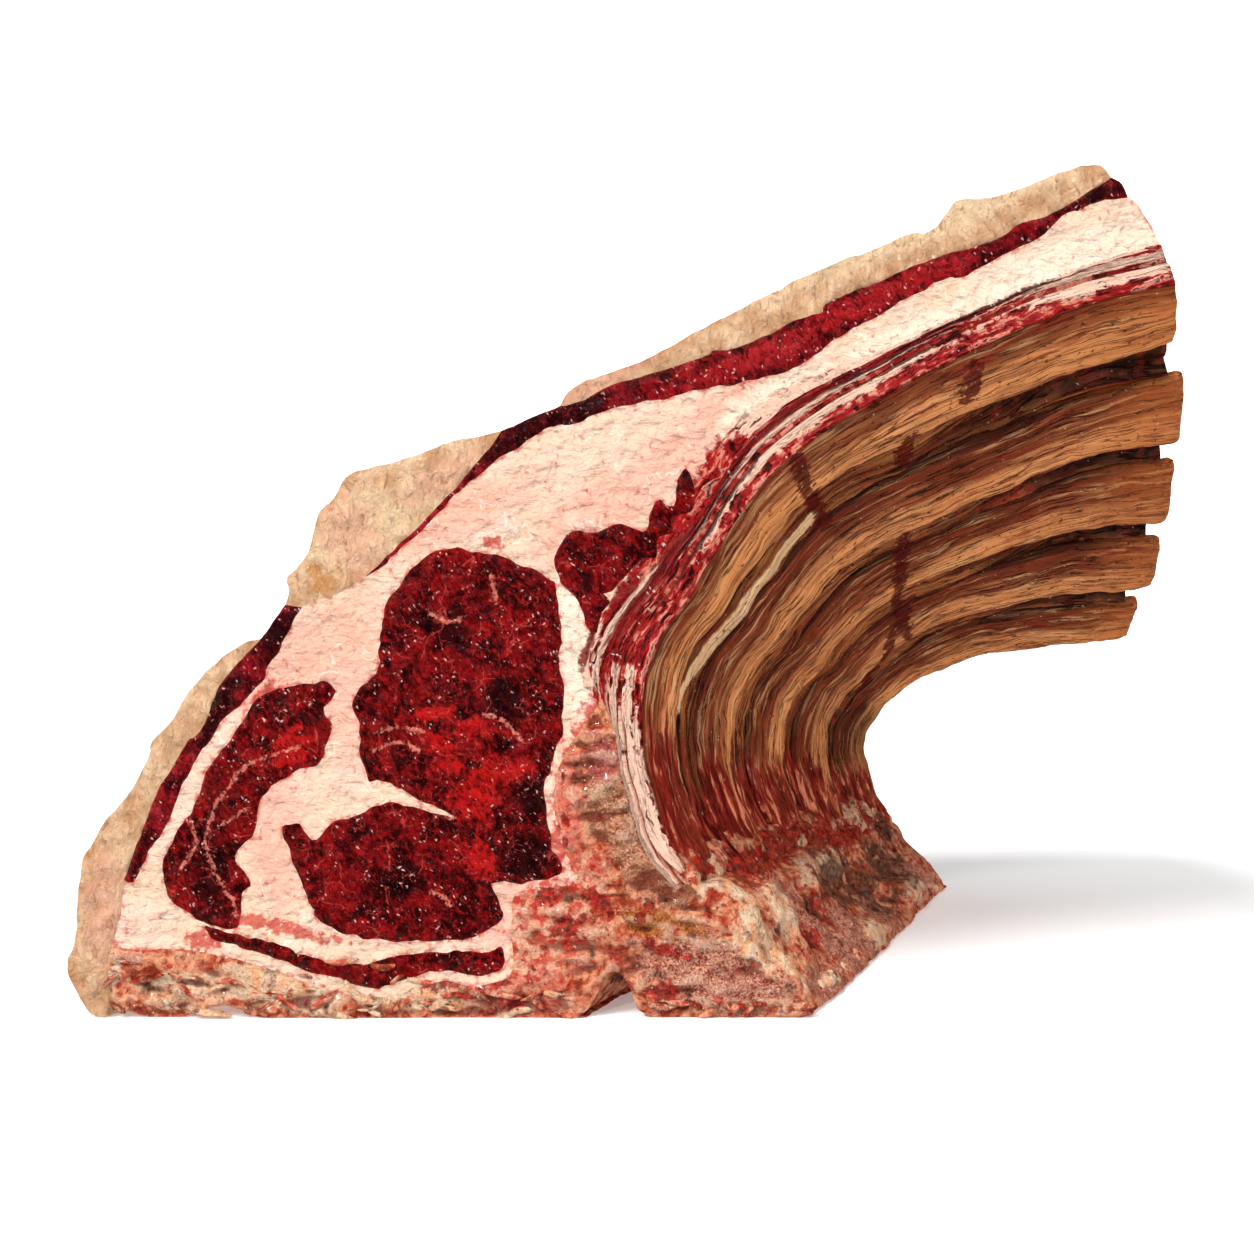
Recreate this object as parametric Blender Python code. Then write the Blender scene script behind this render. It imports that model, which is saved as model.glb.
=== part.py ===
"""Raw bone-in rib section of beef, standing on its sawn chine.

The cut face is drawn once in millimetres (x right, z up) as lines shared by neighbouring pieces.
Each piece is a loft between unlike sections, from its outline on the front face to the one at
the back, because the arch of ribs sinks, shortens and swings sideways towards the back.
Units: metres, +Z up, the cut face looks along -Y.
"""
import bmesh
import bpy
import numpy as np
from mathutils import Vector
from mathutils.geometry import tessellate_polygon

MM = 0.001
DEPTH = 263.7            # front face to back face, measured along Y
SIDE_SHIFT = 113.5       # how far the back face sits to the right of the front face
ORIGIN = (44.69, 131.85, 0.0)   # frame origin in drawing millimetres: centre of the base
FLOOR_SNAP = 0.3         # outline points this close to the floor lie on it
GAP = 0.34               # clearance between neighbouring pieces
STATIONS = (0.0, 0.2, 0.4, 0.6, 0.8, 1.0)

RIB_HALF_WIDTH = 19.8
RIB_CENTRES = (14.0, 76.5, 131.9, 187.2, 242.0)
RIB_OVERHANG = (1.0, 6.0, 6.5, 7.0, 7.0)   # how far each bone stands out of the lining at its tip
RIB_BURIED = 8.0         # depth of a bone under the inner surface where the wall is thick
BURIED_AT_LEAST = 0.3    # share of that depth kept where the wall is thin
WALL_LEFT = 2.6          # lining kept behind a bone
RIB_BACK = ((-19.8, 0.12), (-17.0, 0.65), (-9.0, 0.96), (0.0, 1.0), (9.0, 0.96), (17.0, 0.65),
            (19.8, 0.12))
RIB_FRONT = ((18.2, -1.8), (10.0, -3.1), (0.0, -3.5), (-10.0, -3.1), (-18.2, -1.8))
SAWN_BACK, SAWN_FRONT = 0.93, -2.9   # levels of the first bone where the cut face crosses it
RIB_START = 2.0          # bones start this far up the inner line, clear of the backbone
BETWEEN_RIBS = 1.5       # the lining lies this far below the inner line between two bones
GROOVE_SPREAD = 1.4 * GAP            # how much wider than its bone a groove is, on each side
GROOVE_SHOULDER = 1.6    # width of the step from a groove up to the level between the bones
GROOVE_FLOOR = 0.2       # levels above this belong to the floor of a groove

# Slow waves that keep the sides from being straight: size, turns per millimetre, turns to the back.
LIFT_WAVE = (0.012, 0.03, 5.0)
SWAY_WAVE = (1.6, 0.035, 4.0)
SWAY_START = 0.6

SMOOTHING = 40.0         # how loosely the map to the back face follows its anchors
FLOOR_RATIO = 0.95       # height ratio at the back for anchors on the floor
MITRE_LIMIT = 3.0
SMALL = 1e-6

# Outlines on the front face, in millimetres.
LINES = {
    "outer_low": (
        (-190.4, 0), (-196.9, 2.7), (-204.2, 15.8), (-204.2, 22.3), (-201.9, 29.2), (-199.6, 57.7),
        (-196.1, 66.5), (-190.8, 75.4), (-182.3, 84.6), (-174.2, 100.4), (-173.1, 105),
        (-164.6, 114.6), (-160, 123.5), (-145.4, 138.8), (-137.3, 143.5), (-130, 146.1),
    ),
    "foot": (
        (-187.7, 4.6), (-188.5, 1.2), (-190.4, 0),
    ),
    "foot_side": (
        (-187.7, 27.7), (-189.2, 21.5), (-187.7, 4.6),
    ),
    "low_seam": (
        (-183.1, 52.7), (-185.8, 33.8), (-187.7, 27.7),
    ),
    "low_in": (
        (-130, 146.1), (-145.4, 129.2), (-150.8, 115.4), (-155.4, 108.1), (-160, 104.6),
        (-173.1, 80.8), (-183.1, 52.7),
    ),
    "gap_low": (
        (-130, 146.1), (-120.4, 159.2),
    ),
    "mid_gap": (
        (-120.4, 159.2), (-115, 158.1),
    ),
    "low_deep": (
        (-183.1, 52.7), (-179.6, 52.3), (-173.5, 64.2), (-165.8, 75.4), (-161.9, 85.8),
        (-151.1, 106.1), (-133.8, 126.1), (-120.4, 146.5), (-115, 158.1),
    ),
    "outer_mid": (
        (-120.4, 159.2), (-119.2, 164.6), (-120, 168.8), (-116.5, 172.3), (-112.7, 178.8),
        (-108.1, 194.6), (-102.3, 200.4), (-100, 206.1), (-95.4, 209.6), (-87.7, 212.3),
        (-76.2, 214.6), (-55.8, 222.3), (-37.7, 225.8),
    ),
    "mid_low": (
        (-115, 158.1), (-100, 163.5), (-90.4, 169.6),
    ),
    "mid_in": (
        (-90.4, 169.6), (-55.8, 203.8), (-37.7, 225.8),
    ),
    "high_deep": (
        (-90.4, 169.6), (-83.1, 174.6), (-47.7, 207.7), (-21.2, 226.1), (-9.2, 227.7),
        (5.8, 234.6), (67.3, 247.7), (85.4, 256.5), (96.2, 264.2), (126.9, 281.1), (140.4, 285.8),
        (165.4, 298.1), (176.9, 306.9), (188.5, 311.9), (203.5, 316.1),
    ),
    "gap_high": (
        (-37.7, 225.8), (-15.4, 235.4),
    ),
    "outer_high": (
        (-15.4, 235.4), (-8.5, 243.1), (18.5, 254.2), (53.8, 273.1), (79.2, 285), (117.7, 300.4),
        (125, 301.1), (130, 304.6), (133.1, 310), (138.8, 314.6), (155.8, 316.9), (177.7, 325.4),
        (188.5, 327.7), (193.1, 326.9), (196.5, 323.1),
    ),
    "high_in": (
        (-15.4, 235.4), (-7.7, 236.9), (4.6, 243.5), (38.5, 253.8), (43.1, 256.5), (51.9, 257.7),
        (77.7, 269.2), (85.4, 270.8), (90.4, 276.1), (126.9, 290.8), (153.8, 300), (161.5, 305),
        (173.1, 308.8), (184.6, 314.6), (196.5, 323.1),
    ),
    "tip_muscle": (
        (196.5, 323.1), (200.8, 320), (203.5, 316.1),
    ),
    "tip_fat": (
        (203.5, 316.1), (207.7, 312.3), (216.1, 296.9),
    ),
    "spine_left": (
        (0, 122.3), (-13.5, 101.1), (-16.2, 94.6), (-17.7, 86.9), (-17.7, 78.1), (-15.4, 68.5),
        (-7.7, 52.3),
    ),
    "spine_top": (
        (-7.7, 52.3), (-15.4, 50), (-24.2, 49.6), (-31.2, 47.3), (-34.2, 43.1), (-33.8, 20),
        (-38.5, 14.2), (-50, 12.3), (-61.5, 13.8), (-80.8, 8.5), (-94.2, 8.8), (-105.8, 11.2),
        (-115.4, 15), (-151.9, 25), (-176.9, 25.8), (-187.7, 27.7),
    ),
    "spine_bottom": (
        (79.2, 3.8), (77.3, 0), (23.8, 0), (16.5, 1.9), (13.1, 6.5), (11.5, 11.9), (8.5, 15.8),
        (5.4, 16.9), (2.3, 14.6), (-3.1, 5), (-7.7, 1.2), (-15.4, 0), (-123.1, 0), (-138.5, 3.8),
        (-148.1, 4.6), (-161.5, 0), (-173.1, 0), (-187.7, 4.6),
    ),
    "spine_right": (
        (35, 52.7), (55.8, 28.1), (79.2, 3.8),
    ),
    "eye_only": (
        (-42.3, 51.5), (-37.3, 52.3), (-30.8, 51.5), (-17.7, 54.2), (-15, 58.8), (-19.6, 68.5),
        (-21.5, 83.8), (-21.2, 90.4), (-15, 108.1), (-13.8, 116.5), (-13.5, 126.1), (-15, 135.8),
        (-15.4, 158.8), (-16.5, 166.1), (-21.2, 169.6), (-36.5, 176.5), (-53.8, 180),
        (-65.4, 178.8), (-76.2, 168.5), (-83.1, 157.7), (-85.4, 141.5), (-84.6, 134.6),
        (-92.7, 126.5), (-94.6, 120.8), (-91.5, 108.8), (-92.3, 103.1), (-88.5, 91.9),
        (-83.1, 90.8), (-61.5, 80.8), (-55.8, 76.9),
    ),
    "eye_lower": (
        (-55.8, 76.9), (-50, 72.3), (-46.2, 66.5), (-43.5, 60), (-42.3, 51.5),
    ),
    "lower_only": (
        (-55.8, 76.9), (-76.2, 82.3), (-83.1, 82.7), (-88.5, 81.2), (-96.9, 76.5), (-101.5, 76.2),
        (-109.2, 68.8), (-112.7, 70.8), (-115, 75.4), (-118.8, 74.6), (-121.5, 70.8),
        (-111.9, 43.8), (-108.5, 37.7), (-85.4, 30), (-53.1, 30.4), (-46.2, 31.9), (-40.8, 35),
        (-37.7, 39.6), (-42.3, 51.5),
    ),
    "cap": (
        (-107.7, 129.6), (-103.1, 126.9), (-103.8, 122.3), (-106.5, 120), (-105.4, 116.1),
        (-102.7, 113.5), (-103.8, 108.1), (-108.8, 97.7), (-119.6, 93.1), (-129.6, 84.2),
        (-132.3, 70.8), (-140, 62.3), (-135, 52.7), (-137.3, 48.5), (-139.2, 36.2), (-143.1, 34.2),
        (-149.2, 35.8), (-155, 38.1), (-165, 45.4), (-167.7, 50.8), (-168.1, 56.9), (-166.1, 64.6),
        (-160, 75.4), (-151.1, 95.4), (-147.7, 101.1), (-141.9, 107.3), (-133.8, 120.4),
        (-130, 123.8), (-124.6, 126.1),
    ),
    "side": (
        (-12.3, 185.4), (-7.7, 187.3), (-3.1, 186.9), (7.7, 190), (16.2, 186.5), (18.8, 188.8),
        (18.5, 193.1), (19.6, 196.9), (21.9, 199.6), (25.4, 197.3), (28.5, 196.9), (29.6, 207.7),
        (32.7, 211.1), (35.4, 207.7), (36.5, 202.3), (35.8, 197.3), (33.8, 194.2), (29.6, 193.8),
        (27.7, 190.4), (27.7, 186.5), (24.2, 185), (21.9, 181.5), (21.2, 177.7), (15.8, 176.1),
        (5, 164.6), (1.9, 163.5), (3.8, 160), (1.2, 156.1), (-0.8, 148.5), (-2.3, 147.7),
        (-6.5, 153.8), (-8.8, 161.1), (-15.4, 168.5), (-17.3, 177.3),
    ),
    "tail": (
        (-151.1, 35.8), (-142.3, 32.3), (-130, 30), (-101.9, 21.2), (-92.3, 20.4), (-69.2, 25),
        (-46.2, 25.4), (-38.8, 27.7), (-37.3, 23.8), (-39.6, 18.1), (-50, 16.5), (-60.8, 18.5),
        (-82.7, 12.3), (-92.3, 12.7), (-142.3, 28.1), (-150.4, 32.7),
    ),
}

# The inner line of the arch and the fat side of the rib wall, paired point by point.
ARC = (
    (35, 52.7), (23.8, 68.5), (18.5, 83.1), (15, 97.7), (14.2, 114.6), (14.2, 122.3),
    (16.2, 134.6), (20.8, 145.4), (24.6, 151.9), (33.8, 163.8), (40, 175.4), (47.7, 187.3),
    (56.9, 201.5), (69.2, 215.4), (86.5, 228.5), (108, 241), (138.5, 256.9),
    (176.9, 273.8), (219.6, 284.6),
)
FLANK = (
    (29.2, 48.8), (17.3, 64.6), (11.5, 81.5), (7.7, 96.5), (4.6, 113.8), (0, 122.3),
    (-4.6, 136.1), (2.3, 149.2), (6.9, 156.1), (16.5, 168.5), (26.2, 178.8), (35.8, 189.6),
    (44.6, 203.8), (55.4, 220.8), (71.5, 236.1), (93.1, 247.3), (131.5, 265.8), (173.1, 283.5),
    (216.1, 296.9),
)
NECK = 5                 # up to this pair the rib wall lies against the backbone

# Where points of the front face lie at the back face, before the sideways shift.
ARC_BACK = (
    (35, 52.7, 46, 45), (24, 68.5, 38, 57), (18.5, 83, 34, 69), (14.2, 106, 31.5, 82),
    (14.2, 122, 33, 91), (17.3, 140.8, 39, 101), (30, 158, 48, 109.5), (44, 181, 60, 118.5),
    (62.3, 208.5, 76, 127), (76.9, 222, 87, 131), (96.2, 233.1, 100, 135), (120, 248.8, 118, 138.5),
    (148, 261.5, 136, 140.5), (176.9, 273.8, 152, 141.6), (219.6, 284.6, 173, 142.5),
)
OUTER_BACK = (
    (-190, 1, -184, 1), (-204, 18, -194, 16), (-200, 55, -188, 47), (-173, 105, -165, 89),
    (-130, 146, -124, 122), (-100, 206, -95, 163), (-37.7, 225.8, -34, 181), (18.5, 254.2, 20, 193),
    (67.3, 278.8, 66, 197), (117.7, 300.4, 108, 196), (155.8, 317, 140, 192), (196.5, 323.1, 164, 187),
    (-123, 0, -118, 0), (-70, 0, -66, 0), (-15, 0, -12, 0), (24, 0, 26, 0), (79.2, 3.8, 79, 3.6),
)

FAT, CRUST_FAT, MEAT, DARK_MEAT, BONE, WALL = "fat", "crust_fat", "meat", "dark_meat", "bone", "wall"
COLOURS = {
    FAT: ((0.86, 0.62, 0.52, 1.0), 0.38),
    CRUST_FAT: ((0.72, 0.52, 0.34, 1.0), 0.6),
    MEAT: ((0.2, 0.012, 0.016, 1.0), 0.3),
    DARK_MEAT: ((0.1, 0.008, 0.012, 1.0), 0.32),
    BONE: ((0.5, 0.3, 0.16, 1.0), 0.5),
    WALL: ((0.2, 0.1, 0.06, 1.0), 0.5),
}


def spline_kernel(a, b):
    """Thin-plate kernel between two sets of 2D points."""
    r2 = ((a[:, None, :] - b[None, :, :]) ** 2).sum(axis=2)
    return r2 * np.log(r2 + SMALL)


class BackFace:
    """Smooth map from the front face to the back face, through the anchor points."""

    def __init__(self, anchors):
        rows = np.array(anchors, dtype=float)
        self.front = rows[:, :2]
        heights = np.maximum(rows[:, 1], SMALL)
        values = np.column_stack([rows[:, 2] - rows[:, 0], rows[:, 3] / heights])
        values[rows[:, 1] < 1.0, 1] = FLOOR_RATIO
        count = len(rows)
        system = np.zeros((count + 3, count + 3))
        system[:count, :count] = spline_kernel(self.front, self.front) + SMOOTHING * np.eye(count)
        system[:count, count:] = np.column_stack([np.ones(count), self.front])
        system[count:, :count] = system[:count, count:].T
        target = np.vstack([values, np.zeros((3, 2))])
        self.weights = np.linalg.solve(system, target)

    def __call__(self, points):
        p = np.atleast_2d(np.array(points, dtype=float))
        basis = np.column_stack([spline_kernel(p, self.front), np.ones(len(p)), p])
        move = basis @ self.weights
        return move[:, 0], move[:, 1]


def arc_frame(points):
    """Unit normals of an open line, pointing away from the hollow of the arch."""
    p = np.array(points, dtype=float)
    tangent = np.gradient(p, axis=0)
    tangent /= np.linalg.norm(tangent, axis=1)[:, None]
    return np.column_stack([-tangent[:, 1], tangent[:, 0]])


def make_back_face():
    """Anchor the rib wall so that it keeps its thickness at the back."""
    rough = BackFace(ARC_BACK + OUTER_BACK)
    arc, flank = np.array(ARC), np.array(FLANK)
    dx, ratio = rough(arc)
    arc_back = np.column_stack([arc[:, 0] + dx, arc[:, 1] * ratio])
    thickness = np.linalg.norm(flank - arc, axis=1)
    flank_back = arc_back + arc_frame(arc_back) * thickness[:, None]
    anchors = [(*a, *b) for a, b in zip(arc, arc_back)]
    anchors += [(*a, *b) for a, b in zip(flank, flank_back)]
    return BackFace(anchors + list(OUTER_BACK))


BACK = make_back_face()


def flow(points, w):
    """Place front-face points (n, 2) at depth fraction w: returns (n, 2) x and z in millimetres."""
    p = np.atleast_2d(np.array(points, dtype=float))
    dx, ratio = BACK(p)
    wave = np.sin(np.pi * w)
    rise, across, back = LIFT_WAVE
    lift = 1.0 + wave * rise * np.sin(across * p[:, 0] + back * w)
    swing, upward, back = SWAY_WAVE
    sway = wave * swing * np.sin(upward * p[:, 1] + back * w + SWAY_START)
    x = p[:, 0] + dx * w * w + sway
    z = p[:, 1] * (1.0 + (ratio - 1.0) * w) * lift
    return np.column_stack([x, z])


def place(xz, depth_mm):
    """Turn flowed x, z and a depth in millimetres into final metres."""
    shift = SIDE_SHIFT * depth_mm / DEPTH
    return [((x + shift - ORIGIN[0]) * MM, (depth_mm - ORIGIN[1]) * MM, (z - ORIGIN[2]) * MM)
            for x, z in xz]


def chain(*parts):
    """Join shared lines end to end into one closed outline. A leading minus reverses a line."""
    loop = []
    for part in parts:
        if isinstance(part, str):
            line = list(LINES[part.lstrip("-")])
            line = line[::-1] if part.startswith("-") else line
        else:
            line = list(part)
        loop += line if not loop else line[1:] if line[0] == loop[-1] else line
    return loop[:-1] if loop[0] == loop[-1] else loop


def area(loop):
    p = np.array(loop)
    q = np.roll(p, -1, axis=0)
    return 0.5 * float((p[:, 0] * q[:, 1] - q[:, 0] * p[:, 1]).sum())


def inset(loop, distance):
    """Move every side of a counter-clockwise outline inwards; corners are mitred."""
    p = np.array(loop, dtype=float)
    before, after = p - np.roll(p, 1, axis=0), np.roll(p, -1, axis=0) - p
    n1 = np.column_stack([-before[:, 1], before[:, 0]]) / np.linalg.norm(before, axis=1)[:, None]
    n2 = np.column_stack([-after[:, 1], after[:, 0]]) / np.linalg.norm(after, axis=1)[:, None]
    middle = n1 + n2
    length = (middle ** 2).sum(axis=1)
    scale = np.minimum(2.0 / np.maximum(length, SMALL), MITRE_LIMIT)
    return p + middle * scale[:, None] * distance


def orient(loop, clockwise=False):
    ccw = area(loop) > 0
    return loop[::-1] if ccw == clockwise else loop


class Solid:
    """Collects points and faces of one closed body."""

    def __init__(self):
        self.points, self.faces = [], []

    def add(self, points):
        first = len(self.points)
        self.points += points
        return list(range(first, first + len(points)))

    def quad(self, a, b, c, d, slant):
        """Split a wall quad so that both sides of a seam use the same diagonal."""
        if slant:
            self.faces += [(a, b, c), (a, c, d)]
        else:
            self.faces += [(a, b, d), (b, c, d)]

    def cap(self, loops, flat):
        """Close an end. flat holds one list of 2D points per loop of vertex numbers."""
        order = [v for loop in loops for v in loop]
        polygons = [[Vector((p[0], p[1], 0.0)) for p in loop] for loop in flat]
        self.faces += [tuple(order[i] for i in tri) for tri in tessellate_polygon(polygons)]

    def zip_lines(self, left, right, left_depths, right_depths):
        """Fill between two rows of vertices that both run through the depth."""
        i = j = 0
        while i < len(left) - 1 or j < len(right) - 1:
            turn = np.inf if j == len(right) - 1 else 0.5 * (right_depths[j] + right_depths[j + 1])
            if i < len(left) - 1 and left_depths[i + 1] <= turn:
                self.faces.append((left[i], left[i + 1], right[j]))
                i += 1
            else:
                self.faces.append((left[i], right[j + 1], right[j]))
                j += 1

    def build(self, name, collection, kind):
        mesh = bpy.data.meshes.new(name)
        mesh.from_pydata(self.points, [], self.faces)
        data = bmesh.new()
        data.from_mesh(mesh)
        bmesh.ops.recalc_face_normals(data, faces=data.faces)
        data.to_mesh(mesh)
        data.free()
        colour, rough = COLOURS[kind]
        material = bpy.data.materials.new(name + "_material")
        material.use_nodes = True
        shader = material.node_tree.nodes["Principled BSDF"]
        shader.inputs["Base Color"].default_value = colour
        shader.inputs["Roughness"].default_value = rough
        mesh.materials.append(material)
        thing = bpy.data.objects.new(name, mesh)
        collection.objects.link(thing)
        return thing


def loft(name, loops, collection, kind, stations=STATIONS):
    """Loft outlines (the first is the outside, others are tunnels) through the depth stations."""
    solid = Solid()
    sunk = [inset(orient(loop, clockwise=k > 0), GAP / 2) for k, loop in enumerate(loops)]
    for loop in sunk:
        loop[loop[:, 1] < FLOOR_SNAP, 1] = 0.0
    plain = [np.array(orient(loop, clockwise=k > 0)) for k, loop in enumerate(loops)]
    rings = []
    for w in stations:
        rings.append([solid.add(place(flow(loop, w), w * DEPTH)) for loop in sunk])
    for k, loop in enumerate(plain):
        for i in range(len(loop)):
            j = (i + 1) % len(loop)
            rising = loop[j].sum() > loop[i].sum()
            for near, far in zip(rings, rings[1:]):
                solid.quad(near[k][i], near[k][j], far[k][j], far[k][i], rising)
    for ring, w in ((rings[0], stations[0]), (rings[-1], stations[-1])):
        solid.cap(ring, [flow(loop, w) for loop in sunk])
    return solid.build(name, collection, kind)


def buried_share(i):
    """How deep the bones lie at arc pair i, as a share of the full depth."""
    wall = float(np.linalg.norm(np.array(FLANK[i]) - np.array(ARC[i])))
    return min(max((wall - WALL_LEFT) / RIB_BURIED, BURIED_AT_LEAST), 1.0)


def wall_section(i, arcs, depth, inward, onward=0.0):
    """Point at arc pair i and a depth, moved from the inner line into the wall and along it."""
    line, normals = arcs(depth)
    along = np.array([normals[i][1], -normals[i][0]])
    return line[i] + normals[i] * inward + along * onward


class ArcAtDepth:
    """The inner line and its normals at any depth, kept once worked out."""

    def __init__(self, line):
        self.line, self.known = line, {}

    def __call__(self, depth):
        key = round(depth, 4)
        if key not in self.known:
            flowed = flow(self.line, depth / DEPTH)
            self.known[key] = (flowed, arc_frame(flowed))
        return self.known[key]


def shorten_start(line, distance):
    """Move the first point of a line towards the second."""
    p = np.array(line, dtype=float)
    step = p[1] - p[0]
    p[0] += step / np.linalg.norm(step) * distance
    return p


def groove_profile():
    """Inner side of the rib wall across the depth: (depth, bone number or None, level)."""
    rows = []
    for centre in RIB_CENTRES:
        for offset, level in RIB_BACK:
            at_side = abs(offset) > 0.75 * RIB_HALF_WIDTH
            widen = GROOVE_SPREAD * np.sign(offset) if at_side else 0.0
            rows.append((centre + offset + widen, level))
        rows.append((centre + RIB_HALF_WIDTH + GROOVE_SHOULDER, None))
    rows = [(d, v) for d, v in rows if 1.0 < d < DEPTH - 0.5]
    first = [(0.0, SAWN_BACK)]
    lead = [(c - RIB_HALF_WIDTH - GROOVE_SHOULDER, None) for c in RIB_CENTRES[1:]]
    return sorted(first + rows + lead + [(DEPTH, None)])


def build_lining(collection):
    solid = Solid()
    outline = [*FLANK, *ARC[::-1]]
    sunk = inset(orient(outline), GAP / 2)
    keys = {tuple(p): k for k, p in enumerate(orient(outline))}
    flank = np.array([sunk[keys[tuple(p)]] for p in FLANK])
    arcs = ArcAtDepth(shorten_start(ARC, 2.0 * GAP))
    profile = groove_profile()
    depths = [depth for depth, level in profile]
    rings = []
    for i in range(len(ARC)):
        points = []
        for depth, level in profile:
            in_groove = level is not None and level > GROOVE_FLOOR
            groove = RIB_BURIED * buried_share(i) * level + GAP if in_groove else 0.0
            inward = max(groove, BETWEEN_RIBS)
            points += place([wall_section(i, arcs, depth, inward)], depth)
        for w in STATIONS[::-1]:
            points += place(flow([flank[i]], w), w * DEPTH)
        rings.append(solid.add(points))
    count, inner_count = len(rings[0]), len(profile)
    for i in range(len(ARC) - 1):
        near, far = rings[i], rings[i + 1]
        rising = (np.array(FLANK[i + 1]) - np.array(FLANK[i])).sum() > 0
        for j in range(count):
            k = (j + 1) % count
            on_flank = inner_count <= j < count - 1
            slant = not rising if on_flank else True
            solid.quad(near[j], near[k], far[k], far[j], slant)
    for ring in (rings[0], rings[-1]):
        solid.zip_lines(ring[:inner_count], ring[inner_count:][::-1], depths,
                        [w * DEPTH for w in STATIONS])
    return solid.build("rib_lining", collection, WALL)


def rib_profile(number):
    """Closed section of a bone: (offset along the depth, level, buried or not)."""
    rows = [(offset, level, True) for offset, level in RIB_BACK]
    rows += [(offset, level, False) for offset, level in RIB_FRONT]
    if number:
        return rows
    edge = -RIB_CENTRES[0]
    return ([(edge, SAWN_BACK, True)] + [row for row in rows if row[0] > edge + 1.0]
            + [(edge, SAWN_FRONT, False)])


def build_rib(number, collection):
    solid = Solid()
    arcs = ArcAtDepth(shorten_start(ARC, RIB_START))
    profile = rib_profile(number)
    last = len(ARC) - 1
    rings = []
    for i, onward in [(i, 0.0) for i in range(len(ARC))] + [(last, RIB_OVERHANG[number])]:
        points = []
        for offset, level, buried in profile:
            depth = RIB_CENTRES[number] + offset
            inward = RIB_BURIED * buried_share(i) * level if buried else level
            points += place([wall_section(i, arcs, depth, inward, onward)], depth)
        rings.append(solid.add(points))
    flat = [(offset, level * (RIB_BURIED if buried else 1.0)) for offset, level, buried in profile]
    count = len(profile)
    for near, far in zip(rings, rings[1:]):
        for j in range(count):
            k = (j + 1) % count
            solid.quad(near[j], near[k], far[k], far[j], True)
    solid.cap([rings[0]], [flat])
    solid.cap([rings[-1]], [flat])
    return solid.build(f"rib_{number + 1}", collection, BONE)


def build_all():
    for thing in list(bpy.data.objects):
        bpy.data.objects.remove(thing)
    collection = bpy.data.collections.new("bone_in_ribeye")
    bpy.context.scene.collection.children.link(collection)

    neck_flank, upper_flank = FLANK[:NECK + 1], FLANK[NECK:]
    muscles = chain("eye_only", "lower_only")
    loft("cover_fat_low", [chain("outer_low", "low_in", "low_seam", "foot_side", "foot")],
         collection, CRUST_FAT)
    loft("cover_fat_middle", [chain("outer_mid", "-mid_in", "-mid_low", "-mid_gap")],
         collection, CRUST_FAT)
    loft("cover_fat_high", [chain("outer_high", "-high_in")], collection, CRUST_FAT)
    loft("outer_muscle_low", [chain("gap_low", "mid_gap", "-low_deep", "-low_in")],
         collection, DARK_MEAT)
    loft("outer_muscle_high", [chain("mid_in", "gap_high", "high_in", "tip_muscle", "-high_deep")],
         collection, DARK_MEAT)
    loft("seam_fat", [chain("low_deep", "mid_low", "high_deep", "tip_fat", upper_flank[::-1],
                            "spine_left", "spine_top", "-low_seam"),
                      muscles, LINES["cap"], LINES["side"], LINES["tail"]], collection, FAT)
    loft("eye_muscle", [chain("eye_only", "eye_lower")], collection, MEAT)
    loft("lower_muscle", [chain("lower_only", "-eye_lower")], collection, MEAT)
    loft("cap_muscle", [LINES["cap"]], collection, MEAT)
    loft("side_muscle", [LINES["side"]], collection, MEAT)
    loft("tail_muscle", [LINES["tail"]], collection, MEAT)

    spine = chain("spine_left", "spine_top", "foot_side", "-spine_bottom", "-spine_right",
                  neck_flank)
    margin = GAP / 2 / DEPTH
    for number, (near, far) in enumerate(zip(STATIONS, STATIONS[1:])):
        near += margin if number else 0.0
        far -= margin if far < 1.0 else 0.0
        loft(f"vertebra_{number + 1}", [spine], collection, BONE, (near, far))
    build_lining(collection)
    for number in range(len(RIB_CENTRES)):
        build_rib(number, collection)


build_all()
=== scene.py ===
"""Looks of the raw bone-in rib roast: dense meat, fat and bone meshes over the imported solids.

The cut face is drawn in millimetres (x right, z up) as lines shared by neighbouring pieces, and
every piece follows the same map from the front face to the back face as its solid does.
"""

import bpy
import numpy as np
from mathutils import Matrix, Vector
from mathutils.geometry import delaunay_2d_cdt


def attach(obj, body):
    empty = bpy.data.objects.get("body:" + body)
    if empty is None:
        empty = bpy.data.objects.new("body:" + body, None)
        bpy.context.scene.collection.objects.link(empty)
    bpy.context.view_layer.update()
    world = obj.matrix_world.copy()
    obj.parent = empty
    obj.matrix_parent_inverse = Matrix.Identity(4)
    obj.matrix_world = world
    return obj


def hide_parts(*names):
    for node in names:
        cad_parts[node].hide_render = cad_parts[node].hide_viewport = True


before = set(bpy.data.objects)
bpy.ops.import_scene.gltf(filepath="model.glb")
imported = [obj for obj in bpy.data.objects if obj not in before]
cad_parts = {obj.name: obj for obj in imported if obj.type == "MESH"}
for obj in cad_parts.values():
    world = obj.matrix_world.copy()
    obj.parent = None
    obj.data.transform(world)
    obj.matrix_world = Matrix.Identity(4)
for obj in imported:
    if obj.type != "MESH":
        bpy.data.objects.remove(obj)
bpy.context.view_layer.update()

MM = 0.001
DEPTH = 263.7              # front face to back face
SIDE_SHIFT = 113.5         # how far the back face sits to the right of the front face
ORIGIN = np.array((44.69, 131.85, 0.0))   # frame origin in drawing millimetres
STEP = 1.5         # spacing of outline points

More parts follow.
